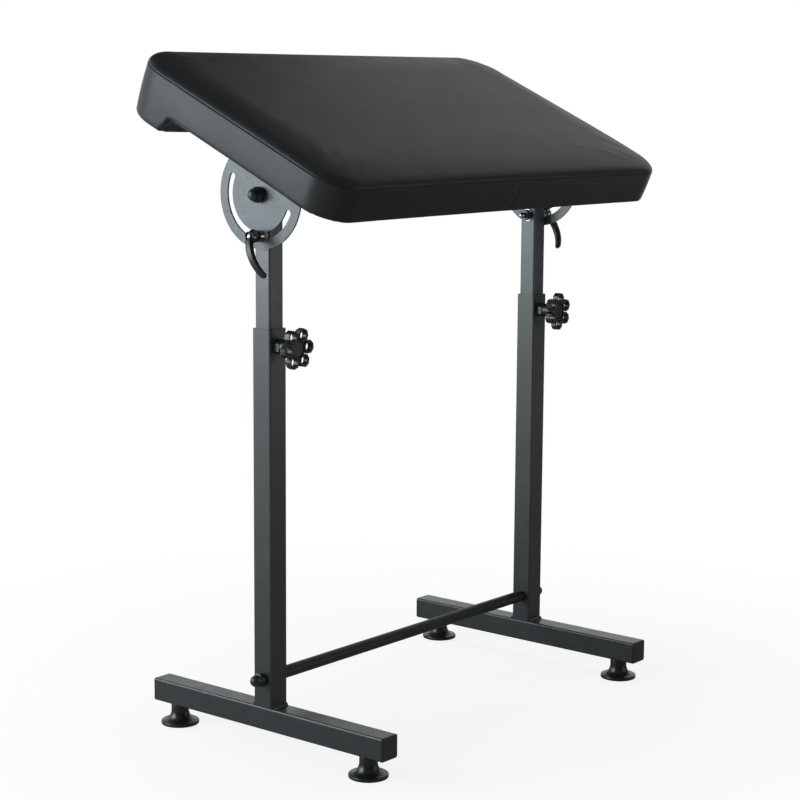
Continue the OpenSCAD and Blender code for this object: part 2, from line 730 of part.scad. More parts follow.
// Holes, or shanks, of one side's screws, from height z up
module screw_holes(d, z, h) {
    for (s = screw_place_shares) translate([screw_x, s * flange_half, z]) cylinder(d = d, h = h);
}

// Dome-headed screws up through a flange into the board
module plate_screws(side) {
    head_z = pad_under_h - plate_t;
    color([0.6, 0.6, 0.62]) in_pad_frame() on_side(side) {
        screw_holes(screw_d, head_z, plate_t + cover_t + board_t * screw_bite_share);
        for (s = screw_place_shares) translate([screw_x, s * flange_half, head_z]) mirror([0, 0, 1])
            rotate_extrude() polygon(concat([[0, 0]], [
                for (p = arc(0, 0, screw_head_d / 2, 0, 90, 5)) [p[0], p[1] * 2 * screw_head_h / screw_head_d]
            ]));
    }
}

// Pad

// Plan outline of the pad at its widest line, as a closed list of points with their directions outward
side_plain_shares = [0.2, 0.4, 0.6, 0.8];
long_side_shares = [-0.75, -0.5, -0.25, 0, 0.25, 0.5, 0.75];
lip_steps = 6;
function side_ys() = let (
    low = pad_front_corner - pad_front, high = pad_rear - pad_rear_corner, flat_end = lip_end_y
) concat(
    [for (s = side_plain_shares) low + (flat_end - low) * s],
    [for (i = [0 : lip_steps]) let (y = flat_end + lip_step * i / lip_steps) if (y < high - lip_step / 8) y]
);
function pad_corner(sx, y, r, a) = [
    for (i = [0 : pad_corner_steps]) let (t = a + 90 * i / pad_corner_steps)
        [[sx * (pad_w / 2 - r) + r * cos(t), y + r * sin(t)], [cos(t), sin(t)]]
];
function pad_outline() = let (
    ys = side_ys(), n = len(ys), front_y = pad_front_corner - pad_front, rear_y = pad_rear - pad_rear_corner,
    front_half = pad_w / 2 - pad_front_corner, rear_half = pad_w / 2 - pad_rear_corner
) concat(
    [for (s = long_side_shares)
        [[s * front_half, -pad_front + pad_draw_in * (1 - s * s)], [0, -1]]],
    pad_corner(1, front_y, pad_front_corner, -90),
    [for (y = ys) [[pad_w / 2, y], [1, 0]]],
    pad_corner(1, rear_y, pad_rear_corner, 0),
    [for (s = long_side_shares)
        [[-s * rear_half, pad_rear - pad_draw_in * (1 - s * s)], [0, 1]]],
    pad_corner(-1, rear_y, pad_rear_corner, 90),
    [for (i = [n - 1 : -1 : 0]) [[-pad_w / 2, ys[i]], [-1, 0]]],
    pad_corner(-1, front_y, pad_front_corner, 180)
);

// Share of the lip at a place along the pad: 0 in front of its step and 1 behind it
function lip_share(y) = let (t = max(0, min(1, (y - lip_end_y) / lip_step))) t * t * (3 - 2 * t);
function under_z(y) = pad_under_h - lip_depth * lip_share(y);
function edge_r(y) = pad_edge_r + (lip_edge_r - pad_edge_r) * lip_share(y);

// Rings of the cushion from its underside up to its crown
function bottom_ring(o, k) = [for (p = o) let (
    r = edge_r(p[0][1]), q = p[0] - p[1] * (r * bottom_in_shares[k] + side_bulge_w))
        [q[0], q[1], under_z(q[1]) + r * bottom_up_shares[k]]];
function side_ring(o, inset, z) = [for (p = o) let (q = p[0] - p[1] * inset) [q[0], q[1], z]];
function roll_ring(o, k) = side_ring(
    o, side_bulge_w + roll_in * roll_in_shares[k], seam_z + pad_roll_h * roll_up_shares[k] + seam_w / 2);
pad_mid_y = (pad_rear - pad_front) / 2;
function crown_ring(o, k) = [for (p = o) let (q = p[0] - p[1] * roll_in, s = crown_size_shares[k])
    [q[0] * s, pad_mid_y + (q[1] - pad_mid_y) * s, top_z(crown_up_shares[k])]];
function top_z(share) = edge_z + seam_w / 2 + pad_crown * share;

// Faces: strips between rings, a fan at the crown, and rungs across the underside between
// points of the first ring that mirror each other
module pad_form() {
    o = pad_outline();
    n = len(o);
    m = len(long_side_shares);
    rings = concat(
        [for (k = [0 : len(bottom_in_shares) - 1]) bottom_ring(o, k)],
        [side_ring(o, 0, pad_under_h + pad_side_h / 2), side_ring(o, side_bulge_w, seam_z - seam_w / 2),
         side_ring(o, side_bulge_w + seam_sink, seam_z)],
        [for (k = [0 : len(roll_in_shares) - 1]) roll_ring(o, k)],
        [for (k = [0 : len(crown_size_shares) - 1]) crown_ring(o, k)]
    );
    count = len(rings);
    points = concat([for (r = rings, p = r) p], [[0, pad_mid_y, top_z(1)]]);
    strips = [for (k = [0 : count - 2], i = [0 : n - 1]) let (a = k * n + i, b = k * n + (i + 1) % n)
        each [[a, b + n, b], [a, a + n, b + n]]];
    fan = [for (i = [0 : n - 1]) [count * n, (count - 1) * n + (i + 1) % n, (count - 1) * n + i]];
    // Half of the points lie on each side of the middle of the front and of the rear edge
    mid = (m - 1) / 2;
    pairs = n / 2;
    rungs = [for (i = [0 : pairs - 1]) let (
        a = (mid + i) % n, b = (mid + i + 1) % n, c = (mid - i + n) % n, d = (mid - i - 1 + n) % n)
        each concat(i == 0 ? [] : [[a, b, c]], i == pairs - 1 ? [] : [[b, d, c]])];
    polyhedron(points, concat(strips, fan, rungs), convexity = 4);
}

// Outline of a flat layer inside the pad, inset from the pad's outline
function layer_outline(inset) = [for (p = pad_outline()) p[0] - p[1] * inset];

// Outline of the cover's opening under the pad, in front of the lip
module cover_outline(gap) {
    w = pad_w - 2 * cover_inset - 2 * gap;
    low = cover_inset - pad_front + gap;
    high = cover_rear_y - gap;
    translate([0, (low + high) / 2]) polygon(rounded_rect(w, high - low, cover_corner));
}

// Padded cushion: foam and its sewn cover, hollow for the board and open under it
module pad_cushion() {
    color([0.07, 0.07, 0.075]) in_pad_frame() difference() {
        pad_form();
        translate([0, 0, board_z]) linear_extrude(board_t + pad_gap)
            polygon(layer_outline(board_inset - pad_gap));
        translate([0, 0, pad_under_h - over]) linear_extrude(cover_t + board_t / 2 + over) cover_outline(0);
    }
}

// Plywood board with pilot holes for the plates' screws
module pad_board() {
    color([0.72, 0.58, 0.4]) in_pad_frame() translate([0, 0, board_z]) difference() {
        linear_extrude(board_t) polygon(layer_outline(board_inset));
        for (side = [-1, 1]) on_side(side) screw_holes(screw_d + 2 * press_fit, -over, board_t + 2 * over);
    }
}

// Thin cover under the board, between the turned-in edges of the cushion
module underside_cover() {
    color([0.1, 0.1, 0.1]) in_pad_frame() translate([0, 0, pad_under_h]) difference() {
        linear_extrude(cover_t) cover_outline(pad_gap);
        for (side = [-1, 1]) on_side(side) screw_holes(screw_d + 2 * bolt_gap, -over, cover_t + 2 * over);
    }
}

base_bar(-1);  // left_base_bar
base_bar(1);  // right_base_bar
end_cap(-1, -1);  // left_front_end_cap
end_cap(-1, 1);  // left_rear_end_cap
end_cap(1, -1);  // right_front_end_cap
end_cap(1, 1);  // right_rear_end_cap
outer_post(-1);  // left_outer_post
outer_post(1);  // right_outer_post
cross_bar();
cross_bar_plugs();
cross_bar_bolts();
cross_bar_washers();
cross_bar_bolt_caps();
foot_nuts();
foot(-1, -1);  // left_front_foot
foot(-1, 1);  // left_rear_foot
foot(1, -1);  // right_front_foot
foot(1, 1);  // right_rear_foot
foot_stud(-1, -1);  // left_front_foot_stud
foot_stud(-1, 1);  // left_rear_foot_stud
foot_stud(1, -1);  // right_front_foot_stud
foot_stud(1, 1);  // right_rear_foot_stud
knob_nuts();
star_knob(-1, left_knob_turn);  // left_star_knob
star_knob(1, right_knob_turn);  // right_star_knob
knob_screw(-1, left_knob_turn);  // left_knob_screw
knob_screw(1, right_knob_turn);  // right_knob_screw
inner_post(-1);  // left_inner_post
inner_post(1);  // right_inner_post
post_plug(-1);  // left_post_plug
post_plug(1);  // right_post_plug
pivot_bolt(-1);  // left_pivot_bolt
pivot_bolt(1);  // right_pivot_bolt
pivot_washers();
pivot_nuts();
pivot_cap(-1);  // left_pivot_cap
pivot_cap(1);  // right_pivot_cap
friction_washers();
clamp_rod(-1);  // left_clamp_rod
clamp_rod(1);  // right_clamp_rod
cross_pin(-1);  // left_cross_pin
cross_pin(1);  // right_cross_pin
cam_saddle(-1);  // left_cam_saddle
cam_saddle(1);  // right_cam_saddle
clamp_washers();
clamp_nuts();
clamp_lever(-1);  // left_clamp_lever
clamp_lever(1);  // right_clamp_lever
tilt_plate(-1);  // left_tilt_plate
tilt_plate(1);  // right_tilt_plate
plate_screws(-1);  // left_plate_screws
plate_screws(1);  // right_plate_screws
pad_board();
underside_cover();
pad_cushion();
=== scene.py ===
"""Dresses the arm rest stand: its finishes, moulded pieces and padded top, and the studio round it."""
import json
import logging
import math
from dataclasses import dataclass, field
from enum import Enum
from typing import Callable, Sequence

import bmesh
import bpy
import numpy as np
from mathutils import Matrix, Vector


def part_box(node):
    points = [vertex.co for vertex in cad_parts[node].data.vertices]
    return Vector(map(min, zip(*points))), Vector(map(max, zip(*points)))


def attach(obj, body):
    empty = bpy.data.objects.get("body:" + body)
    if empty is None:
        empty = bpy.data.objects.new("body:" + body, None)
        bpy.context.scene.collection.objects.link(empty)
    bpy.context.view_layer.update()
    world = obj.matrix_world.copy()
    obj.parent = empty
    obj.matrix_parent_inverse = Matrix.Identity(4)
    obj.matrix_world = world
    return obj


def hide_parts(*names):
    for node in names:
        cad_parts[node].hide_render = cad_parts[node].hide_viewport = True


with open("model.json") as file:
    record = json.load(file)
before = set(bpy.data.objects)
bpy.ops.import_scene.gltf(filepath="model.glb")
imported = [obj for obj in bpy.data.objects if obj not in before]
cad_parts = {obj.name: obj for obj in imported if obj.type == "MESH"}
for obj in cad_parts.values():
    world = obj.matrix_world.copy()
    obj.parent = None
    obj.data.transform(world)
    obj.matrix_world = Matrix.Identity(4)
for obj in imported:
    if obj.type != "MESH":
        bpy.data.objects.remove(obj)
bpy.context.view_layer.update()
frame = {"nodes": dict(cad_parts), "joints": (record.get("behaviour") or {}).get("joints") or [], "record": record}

log = logging.getLogger("arm_rest_stand")
MM = 0.001
Triple = tuple[float, float, float]
Profile = Sequence[tuple[float, float]]
Stop = tuple[float, Triple]
Plane = tuple[Triple, Triple]


class Side(Enum):
    """The two halves of the stand, by the direction of X."""

    LEFT = -1
    RIGHT = 1

    @property
    def word(self) -> str:
        """The side's name in the names of its nodes."""
        return self.name.lower()


class End(Enum):
    """The two ends of a base bar, by the direction of Y."""

    FRONT = -1
    REAR = 1

    @property
    def word(self) -> str:
        """The end's name in the names of its nodes."""
        return self.name.lower()


# Finishes


class Tree:
    """The node tree of a material or a world, in the making."""

    def __init__(self, owner: bpy.types.Material | bpy.types.World) -> None:
        """Takes up a material's or a world's nodes."""
        owner.use_nodes = True
        self.nodes = owner.node_tree.nodes
        self.links = owner.node_tree.links

    def fill(self, socket: bpy.types.NodeSocket, value: object) -> None:
        """Links a pattern to a socket, or sets a constant on it.

        Args:
            socket: The socket.
            value: A pattern's socket, or a constant.
        """
        if isinstance(value, bpy.types.NodeSocket):
            self.links.new(value, socket)
        else:
            socket.default_value = value

    def add(self, kind: str, inputs: dict[str | int, object], **settings: object) -> bpy.types.Node:
        """Adds a node.

        Args:
            kind: Its type, without the first word.
            inputs: What goes into its sockets: patterns or constants.
            settings: Its own settings.

        Returns:
            The node.
        """
        node = self.nodes.new(f"ShaderNode{kind}")
        for name, value in settings.items():
            setattr(node, name, value)
        for key, value in inputs.items():
            self.fill(node.inputs[key], value)
        return node

    def place(self) -> bpy.types.NodeSocket:
        """The piece's own Object coordinates."""
        return self.add("TexCoord", {}).outputs["Object"]

    def glow(self, strength: bpy.types.NodeSocket | float) -> bpy.types.NodeSocket:
        """White light of a strength, or of a pattern of it."""
        return self.add("Emission", {"Strength": strength}).outputs["Emission"]

    def mixed(self, share: bpy.types.NodeSocket, first: bpy.types.NodeSocket,
              second: bpy.types.NodeSocket) -> bpy.types.NodeSocket:
        """Two shaders mixed, with a share of the second."""
        return self.add("MixShader", {0: share, 1: first, 2: second}).outputs["Shader"]

    def away(self, centre: Triple) -> bpy.types.NodeSocket:
        """The distance from a point."""
        inputs = {0: self.place(), 1: centre}
        return self.add("VectorMath", inputs, operation="DISTANCE").outputs["Value"]

    def ramp(self, value: bpy.types.NodeSocket, over: tuple[float, float],
             to: tuple[float, float]) -> bpy.types.NodeSocket:
        """A smooth step from one value to another.

        Args:
            value: What the step follows.
            over: Where the step starts and ends.
            to: The result before and after it.

        Returns:
            The result's socket.
        """
        inputs = dict(zip(("From Min", "From Max", "To Min", "To Max", "Value"), (*over, *to, value)))
        return self.add("MapRange", inputs, interpolation_type="SMOOTHSTEP").outputs["Result"]

    def seen(self, share: bpy.types.NodeSocket | float) -> bpy.types.NodeSocket:
        """A share for rays from the camera, or through or off a surface, and 0 for other light.

        Args:
            share: The value for those rays, or a pattern of it.

        Returns:
            The value's socket.
        """
        rays = self.add("LightPath", {}).outputs
        value = rays["Is Camera Ray"]
        for operation, other in (("MAXIMUM", rays["Is Glossy Ray"]), ("MAXIMUM", rays["Is Transmission Ray"]),
                                 ("MULTIPLY", share)):
            value = self.add("Math", {0: value, 1: other}, operation=operation).outputs["Value"]
        return value


class Shader(Tree):
    """A node material in the making, on the piece's own Object coordinates."""

    def __init__(self, name: str) -> None:
        """Starts a material.

        Args:
            name: The finish's name.
        """
        self.material = bpy.data.materials.new(name)
        super().__init__(self.material)
        self.surface = self.nodes["Principled BSDF"]
        self.at = self.place()

    def set(self, **values: object) -> "Shader":
        """Sets values on the shader's own sockets.

        Args:
            values: Socket names, with underscores for spaces, and their values.

        Returns:
            This shader.
        """
        for name, value in values.items():
            self.feed(name.replace("_", " "), value)
        return self

    def feed(self, name: str, value: object) -> None:
        """Puts a pattern or a constant into one of the shader's sockets."""
        self.fill(self.surface.inputs[name], value)

    def finish(self, shader: bpy.types.NodeSocket) -> None:
        """Makes a shader the material's surface."""
        self.fill(self.nodes["Material Output"].inputs["Surface"], shader)

    def stretched(self, scale: Triple) -> bpy.types.NodeSocket:
        """The piece's coordinates, scaled along each axis."""
        return self.add("Mapping", {"Scale": scale, "Vector": self.at}).outputs["Vector"]

    def noise(self, scale: float, detail: float = 3.0,
              at: bpy.types.NodeSocket | None = None) -> bpy.types.NodeSocket:
        """Soft noise.

        Args:
            scale: Features per metre.
            detail: Octaves of finer noise.
            at: Coordinates, where they aren't the piece's own.

        Returns:
            The noise's value.
        """
        inputs = {"Scale": scale, "Detail": detail, "Vector": at or self.at}
        return self.add("TexNoise", inputs).outputs["Fac"]

    def creases(self, scale: float) -> bpy.types.NodeSocket:
        """The distance to the creases between cells, so many cells per metre."""
        inputs = {"Scale": scale, "Vector": self.at}
        return self.add("TexVoronoi", inputs, feature="DISTANCE_TO_EDGE").outputs["Distance"]

    def rough(self, value: bpy.types.NodeSocket, low: float, high: float) -> None:
        """Spreads the roughness over low to high by the middle half of a value."""
        inputs = {"From Min": 0.25, "From Max": 0.75, "To Min": low, "To Max": high, "Value": value}
        self.feed("Roughness", self.add("MapRange", inputs).outputs["Result"])

    def tones(self, value: bpy.types.NodeSocket, dark: Stop, light: Stop) -> None:
        """Colours the surface along a value.

        Args:
            value: What picks the colour.
            dark: The first place from 0 to 1, and its colour.
            light: The second place and colour.
        """
        node = self.add("ValToRGB", {"Fac": value})
        for element, (place, colour) in zip(node.color_ramp.elements, (dark, light)):
            element.position = place
            element.color = (*colour, 1.0)
        self.feed("Base Color", node.outputs["Color"])

    def relief(self, height: bpy.types.NodeSocket, depth: float, strength: float) -> "Shader":
        """Adds relief on top of any that is there.

        Args:
            height: The relief's pattern.
            depth: Its depth in metres.
            strength: How much of it shows.

        Returns:
            This shader.
        """
        node = self.add("Bump", {"Strength": strength, "Distance": depth, "Height": height})
        under = self.surface.inputs["Normal"]
        if under.is_linked:
            self.links.new(under.links[0].from_socket, node.inputs["Normal"])
        self.links.new(node.outputs["Normal"], under)
        return self


def lighter(colour: Triple, factor: float) -> Triple:
    """A colour times a factor."""
    return (colour[0] * factor, colour[1] * factor, colour[2] * factor)


@dataclass(frozen=True)
class PowderCoat:
    """Baked powder paint: fine orange peel, a soft gloss and a faint unevenness of tone."""

    name: str
    colour: Triple
    roughness: float
    peel: float = 520.0

    def build(self) -> bpy.types.Material:
        """Makes the finish's material."""
        s = Shader(self.name).set(IOR=1.5, Coat_Weight=0.12, Coat_Roughness=0.2)
        cloud = s.noise(14.0, 4.0)
        s.tones(cloud, (0.3, lighter(self.colour, 0.9)), (0.7, lighter(self.colour, 1.12)))
        s.rough(s.noise(60.0, 3.0), self.roughness - 0.04, self.roughness + 0.05)
        return s.relief(s.noise(self.peel, 2.0), 0.05 * MM, 0.35).material


@dataclass(frozen=True)
class Moulded:
    """Moulded plastic: a fine even texture, and a gloss that varies a little."""

    name: str
    colour: Triple
    roughness: float

    def build(self) -> bpy.types.Material:
        """Makes the finish's material."""
        s = Shader(self.name).set(IOR=1.47)
        s.tones(s.noise(45.0), (0.3, lighter(self.colour, 0.85)), (0.72, lighter(self.colour, 1.25)))
        s.rough(s.noise(160.0), self.roughness - 0.06, self.roughness + 0.08)
        return s.relief(s.noise(1400.0, 2.0), 0.03 * MM, 0.3).material


@dataclass(frozen=True)
class Plated:
    """Plated or blackened steel: metal with a fine tooth and cloudy roughness."""

    name: str
    colour: Triple
    roughness: float

    def build(self) -> bpy.types.Material:
        """Makes the finish's material."""
        s = Shader(self.name).set(Metallic=1.0)
        s.tones(s.noise(70.0), (0.3, lighter(self.colour, 0.88)), (0.7, lighter(self.colour, 1.08)))
        s.rough(s.noise(240.0), self.roughness * 0.75, self.roughness * 1.3)
        streaks = s.noise(6.0, 4.0, s.stretched((300.0, 300.0, 300.0)))
        return s.relief(streaks, 0.01 * MM, 0.4).material


@dataclass(frozen=True)
class SatinPlate:
    """Grey sheet steel under a satin coat: even, slightly metallic, with a fine bead-blasted grain."""

    name: str
    colour: Triple
    roughness: float = 0.46

    def build(self) -> bpy.types.Material:
        """Makes the finish's material."""
        s = Shader(self.name).set(Metallic=0.55, IOR=1.5)
        s.tones(s.noise(30.0, 4.0), (0.3, lighter(self.colour, 0.94)), (0.7, lighter(self.colour, 1.05)))
        s.rough(s.noise(200.0), self.roughness - 0.05, self.roughness + 0.06)
        return s.relief(s.noise(1800.0, 2.0), 0.03 * MM, 0.35).material


@dataclass(frozen=True)
class CoatedCloth:
    """Soft coated cloth over foam: pebbled grain, shallow waves and a low gloss."""

    name: str
    colour: Triple
    roughness: float = 0.42
    pebble: float = 950.0

    def build(self) -> bpy.types.Material:
        """Makes the finish's material."""
        s = Shader(self.name).set(IOR=1.33)
        cloud = s.noise(9.0, 4.0)
        s.tones(cloud, (0.3, lighter(self.colour, 0.94)), (0.7, lighter(self.colour, 1.06)))
        s.rough(s.noise(22.0, 4.0), self.roughness - 0.015, self.roughness + 0.02)
        s.relief(s.noise(60.0, 3.0), 0.3 * MM, 0.08)
        return s.relief(s.creases(self.pebble), 0.09 * MM, 0.45).material


@dataclass(frozen=True)
class PlainCloth:
    """Thin felted cloth: loose fibres and no gloss."""

    name: str
    colour: Triple

    def build(self) -> bpy.types.Material:
        """Makes the finish's material."""
        s = Shader(self.name).set(IOR=1.4, Roughness=0.9, Sheen_Weight=0.2, Sheen_Roughness=0.6)
        fibres = s.noise(160.0, 4.0, s.stretched((9.0, 2.0, 4.0)))
        s.tones(fibres, (0.35, lighter(self.colour, 0.7)), (0.65, lighter(self.colour, 1.5)))
        return s.relief(fibres, 0.2 * MM, 0.5).material


@dataclass(frozen=True)
class Plywood:
    """Birch plywood: long grain across the pad and a rough sawn edge."""

    name: str
    light: Triple
    dark: Triple

    def build(self) -> bpy.types.Material:
        """Makes the finish's material."""
        s = Shader(self.name).set(IOR=1.45, Roughness=0.72)
        grain = s.noise(10.0, 6.0, s.stretched((1.2, 22.0, 60.0)))
        s.tones(grain, (0.35, self.dark), (0.6, self.light))
        return s.relief(grain, 0.15 * MM, 0.4).material


FINISHES = {
    "frame_paint": PowderCoat("frame_powder_coat", (0.0185, 0.0220, 0.0232), 0.34),
    "bar_paint": PowderCoat("cross_bar_powder_coat", (0.005, 0.005, 0.006), 0.55),
    "post_paint": PowderCoat("inner_post_powder_coat", (0.036, 0.0415, 0.045), 0.33),
    "cap_plastic": Moulded("cap_plastic_black", (0.013, 0.014, 0.015), 0.34),
    "foot_plastic": Moulded("foot_plastic_black", (0.0085, 0.0085, 0.0095), 0.3),
    "knob_plastic": Moulded("knob_plastic_black", (0.007, 0.007, 0.008), 0.36),
    "zinc": Plated("zinc_plating", (0.42, 0.43, 0.45), 0.3),
    "bright_steel": Plated("bright_plating", (0.42, 0.43, 0.45), 0.13),
    "dark_steel": Plated("black_oxide", (0.05, 0.05, 0.055), 0.36),
    "lever_alloy": PowderCoat("lever_black", (0.007, 0.007, 0.008), 0.44, 900.0),
    "saddle_plastic": Moulded("saddle_plastic_black", (0.008, 0.008, 0.009), 0.45),
    "washer_nylon": Moulded("washer_nylon_pale", (0.4, 0.4, 0.38), 0.5),
    "plate_steel": SatinPlate("plate_satin_grey", (0.084, 0.089, 0.092)),
    "board_wood": Plywood("birch_plywood", (0.55, 0.41, 0.25), (0.40, 0.27, 0.15)),
    "cover_cloth": PlainCloth("underside_felt", (0.014, 0.014, 0.015)),
    "pad_cloth": CoatedCloth("pad_coated_cloth", (0.0118, 0.0124, 0.0138)),
}


class Wardrobe:
    """Makes each finish once and puts it on the CAD nodes and on the new pieces."""

    def __init__(self) -> None:
        """Builds every finish in the table."""
        self.materials = {slot: finish.build() for slot, finish in FINISHES.items()}

    def dress_nodes(self) -> None:
        """Gives each CAD node the material of its slot in the record."""
        slots = {entry["node"]: entry["material_slot"] for entry in frame["record"]["subparts"]}
        for name, node in frame["nodes"].items():
            for place in node.material_slots:
                place.material = self.materials[slots[name]]
        log.info("dressed %d CAD nodes", len(frame["nodes"]))

    def dress(self, piece: bpy.types.Object, slot: str) -> None:
        """Gives a new piece the material of a slot.

        Args:
            piece: The piece.
            slot: The record's material slot.
        """
        piece.data.materials.clear()
        piece.data.materials.append(self.materials[slot])


# Modelling by hand


class Bench:
    """Where one piece is modelled with edit-mode tools."""

    @staticmethod
    def clear() -> None:
        """Leaves edit mode and deselects everything."""
        if bpy.context.object and bpy.context.object.mode != "OBJECT":
            bpy.ops.object.mode_set(mode="OBJECT")
        bpy.ops.object.select_all(action="DESELECT")

    @staticmethod
    def pick(piece: bpy.types.Object) -> None:
        """Makes a piece the only one selected, and active."""
        Bench.clear()
        piece.select_set(True)
        bpy.context.view_layer.objects.active = piece

    @staticmethod
    def added(name: str) -> bpy.types.Object:
        """Names the piece that was just added, and puts its place and size into its mesh.

        Args:
            name: The piece's name.

        Returns:
            The piece.
        """
        piece = bpy.context.object
        piece.name = name
        bpy.ops.object.transform_apply(location=True, rotation=True, scale=True)
        return piece

    @staticmethod
    def box(name: str, size: Triple, at: Triple) -> bpy.types.Object:
        """Adds a box.

        Args:
            name: Its name.
            size: Its size, in millimetres.
            at: Its middle, in millimetres.

        Returns:
            The piece.
        """
        Bench.clear()
        bpy.ops.mesh.primitive_cube_add(size=1.0, location=[value * MM for value in at])
        bpy.context.object.scale = [value * MM for value in size]
        return Bench.added(name)

    @staticmethod
    def edit(mode: str = "FACE") -> None:
        """Enters edit mode on the active piece.

        Args:
            mode: What is selected: VERT, EDGE or FACE.
        """
        bpy.ops.object.mode_set(mode="EDIT")
        bpy.ops.mesh.select_mode(type=mode)

    @staticmethod
    def done() -> None:
        """Leaves edit mode."""
        bpy.ops.object.mode_set(mode="OBJECT")

    @staticmethod
    def select(kind: str, test: Callable[[object], bool]) -> None:
        """Selects what passes a test, in edit mode, and nothing else.

        Args:
            kind: verts, edges or faces.
            test: Takes a BMesh element and says whether it is selected.
        """
        mesh = bmesh.from_edit_mesh(bpy.context.object.data)
        for element in (*mesh.faces, *mesh.edges, *mesh.verts):
            element.select_set(False)
        for element in [element for element in getattr(mesh, kind) if test(element)]:
            element.select_set(True)
        mesh.select_flush_mode()
        bmesh.update_edit_mesh(bpy.context.object.data)

    @staticmethod
    def use(piece: bpy.types.Object, kind: str, **settings: object) -> None:
        """Adds a modifier to a piece and applies it.

        Args:
            piece: The piece.
            kind: The modifier's type.
            settings: Its settings.
        """
        Bench.pick(piece)
        modifier = piece.modifiers.new(kind.title(), kind)
        for name, value in settings.items():
            setattr(modifier, name, value)
        bpy.ops.object.modifier_apply(modifier=modifier.name)

    @staticmethod
    def combine(piece: bpy.types.Object, tool: bpy.types.Object, operation: str,
                solver: str = "EXACT") -> None:
        """Joins, cuts or intersects a piece with a tool, which is then deleted.

        Args:
            piece: The piece that is changed.
            tool: The other solid.
            operation: UNION, DIFFERENCE or INTERSECT.
            solver: Which boolean solver does it.
        """
        Bench.use(piece, "BOOLEAN", object=tool, operation=operation, solver=solver)
        bpy.data.objects.remove(tool, do_unlink=True)

    @staticmethod
    def outward(piece: bpy.types.Object, merge: float = 0.001 * MM) -> None:
        """Merges a piece's doubled points and turns its faces outwards.

        Args:
            piece: The piece.
            merge: How near two points are merged, in metres.
        """
        Bench.pick(piece)
        Bench.edit()
        bpy.ops.mesh.select_all(action="SELECT")
        bpy.ops.mesh.remove_doubles(threshold=merge)
        bpy.ops.mesh.normals_make_consistent(inside=False)
        Bench.done()

    @staticmethod
    def smooth(piece: bpy.types.Object, degrees: float) -> None:
        """Shades a piece smooth, except across edges sharper than an angle."""
        Bench.pick(piece)
        bpy.ops.object.shade_smooth_by_angle(angle=math.radians(degrees))

    @staticmethod
    def place(piece: bpy.types.Object, matrix: Matrix) -> None:
        """Moves a piece's mesh, and leaves its object at the origin.

        Args:
            piece: The piece.
            matrix: Where it goes.
        """
        piece.data.transform(matrix @ piece.matrix_basis)
        piece.matrix_basis = Matrix.Identity(4)
        if matrix.determinant() < 0:
            piece.data.flip_normals()
        piece.data.update()

    @staticmethod
    def copy(piece: bpy.types.Object, name: str, matrix: Matrix) -> bpy.types.Object:
        """Copies a piece, with a mesh of its own.

        Args:
            piece: The piece.
            name: The copy's name.
            matrix: Where the copy goes.

        Returns:
            The copy.
        """
        twin = piece.copy()
        twin.data = piece.data.copy()
        twin.name = name
        bpy.context.collection.objects.link(twin)
        Bench.place(twin, matrix)
        return twin

    @staticmethod
    def turned(name: str, profile: Profile, sides: int) -> bpy.types.Object:
        """Turns a profile about Z, from a circle that is extruded ring by ring.

        Args:
            name: The piece's name.
            profile: Radius and height of each ring, in millimetres, in order. The first and the last ring
                are closed flat, and no radius is 0.
            sides: Points in each ring.

        Returns:
            The piece, about the origin.
        """
        Bench.clear()
        rings = [(r * MM, z * MM) for r, z in profile]
        radius, height = rings[0]
        bpy.ops.mesh.primitive_circle_add(vertices=sides, radius=radius, fill_type="NGON",
                                          location=(0, 0, height))
        piece = Bench.added(name)
        Bench.edit("EDGE")
        bpy.ops.mesh.select_all(action="SELECT")
        for after, rise in rings[1:]:
            bpy.ops.mesh.extrude_region_move(TRANSFORM_OT_translate={"value": (0, 0, rise - height)})
            factor = after / radius
            bpy.ops.transform.resize(value=(factor, factor, 1), center_override=(0, 0, rise))
            radius, height = after, rise
        Bench.done()
        Bench.outward(piece)
        return piece

    @staticmethod
    def prism(name: str, sides: int, radius: float, low: float, high: float, at: tuple[float, float] = (0, 0),
              turn: float = 0.0) -> bpy.types.Object:
        """Adds an upright cylinder or prism.

        Args:
            name: Its name.
            sides: Its sides.
            radius: Its radius over the corners, in millimetres.
            low: Height of its bottom, in millimetres.
            high: Height of its top, in millimetres.
            at: Its axis, in millimetres.
            turn: Its turn about its axis, in degrees.

        Returns:
            The piece, with its place in its mesh.
        """
        Bench.clear()
        bpy.ops.mesh.primitive_cylinder_add(
            vertices=sides, radius=radius * MM, depth=(high - low) * MM, end_fill_type="NGON",
            location=(at[0] * MM, at[1] * MM, (low + high) / 2 * MM), rotation=(0, 0, math.radians(turn)))
        return Bench.added(name)


def arc_points(centre: tuple[float, float], radius: float, start: float, end: float,
               steps: int) -> list[tuple[float, float]]:
    """Points along an arc, in the order of a profile.

    Args:
        centre: Radius and height of the arc's centre.
        radius: The arc's radius.
        start: Its first angle, in degrees.
        end: Its last angle.
        steps: How many pieces it is cut into.

    Returns:
        Radius and height of each point.
    """
    turns = [math.radians(start + (end - start) * i / steps) for i in range(steps + 1)]
    return [(centre[0] + radius * math.cos(t), centre[1] + radius * math.sin(t)) for t in turns]


def along_x(side: Side, x: float, y: float, z: float) -> Matrix:
    """Lays a piece that was turned about Z along X, pointing outboard.

    Args:
        side: Which half of the stand.
        x: Distance of its base from the middle, in metres.
        y: Its place along Y.
        z: Its height.

    Returns:
        The matrix.
    """
    upright = Matrix.Translation((x, y, z)) @ Matrix.Rotation(math.radians(90), 4, "Y")
    return upright if side is Side.RIGHT else Matrix.Scale(-1, 4, (1, 0, 0)) @ upright


def middle(node: str) -> Vector:
    """The middle of a CAD node's box."""
    low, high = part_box(node)
    return (Vector(low) + Vector(high)) / 2


# Sub-assemblies


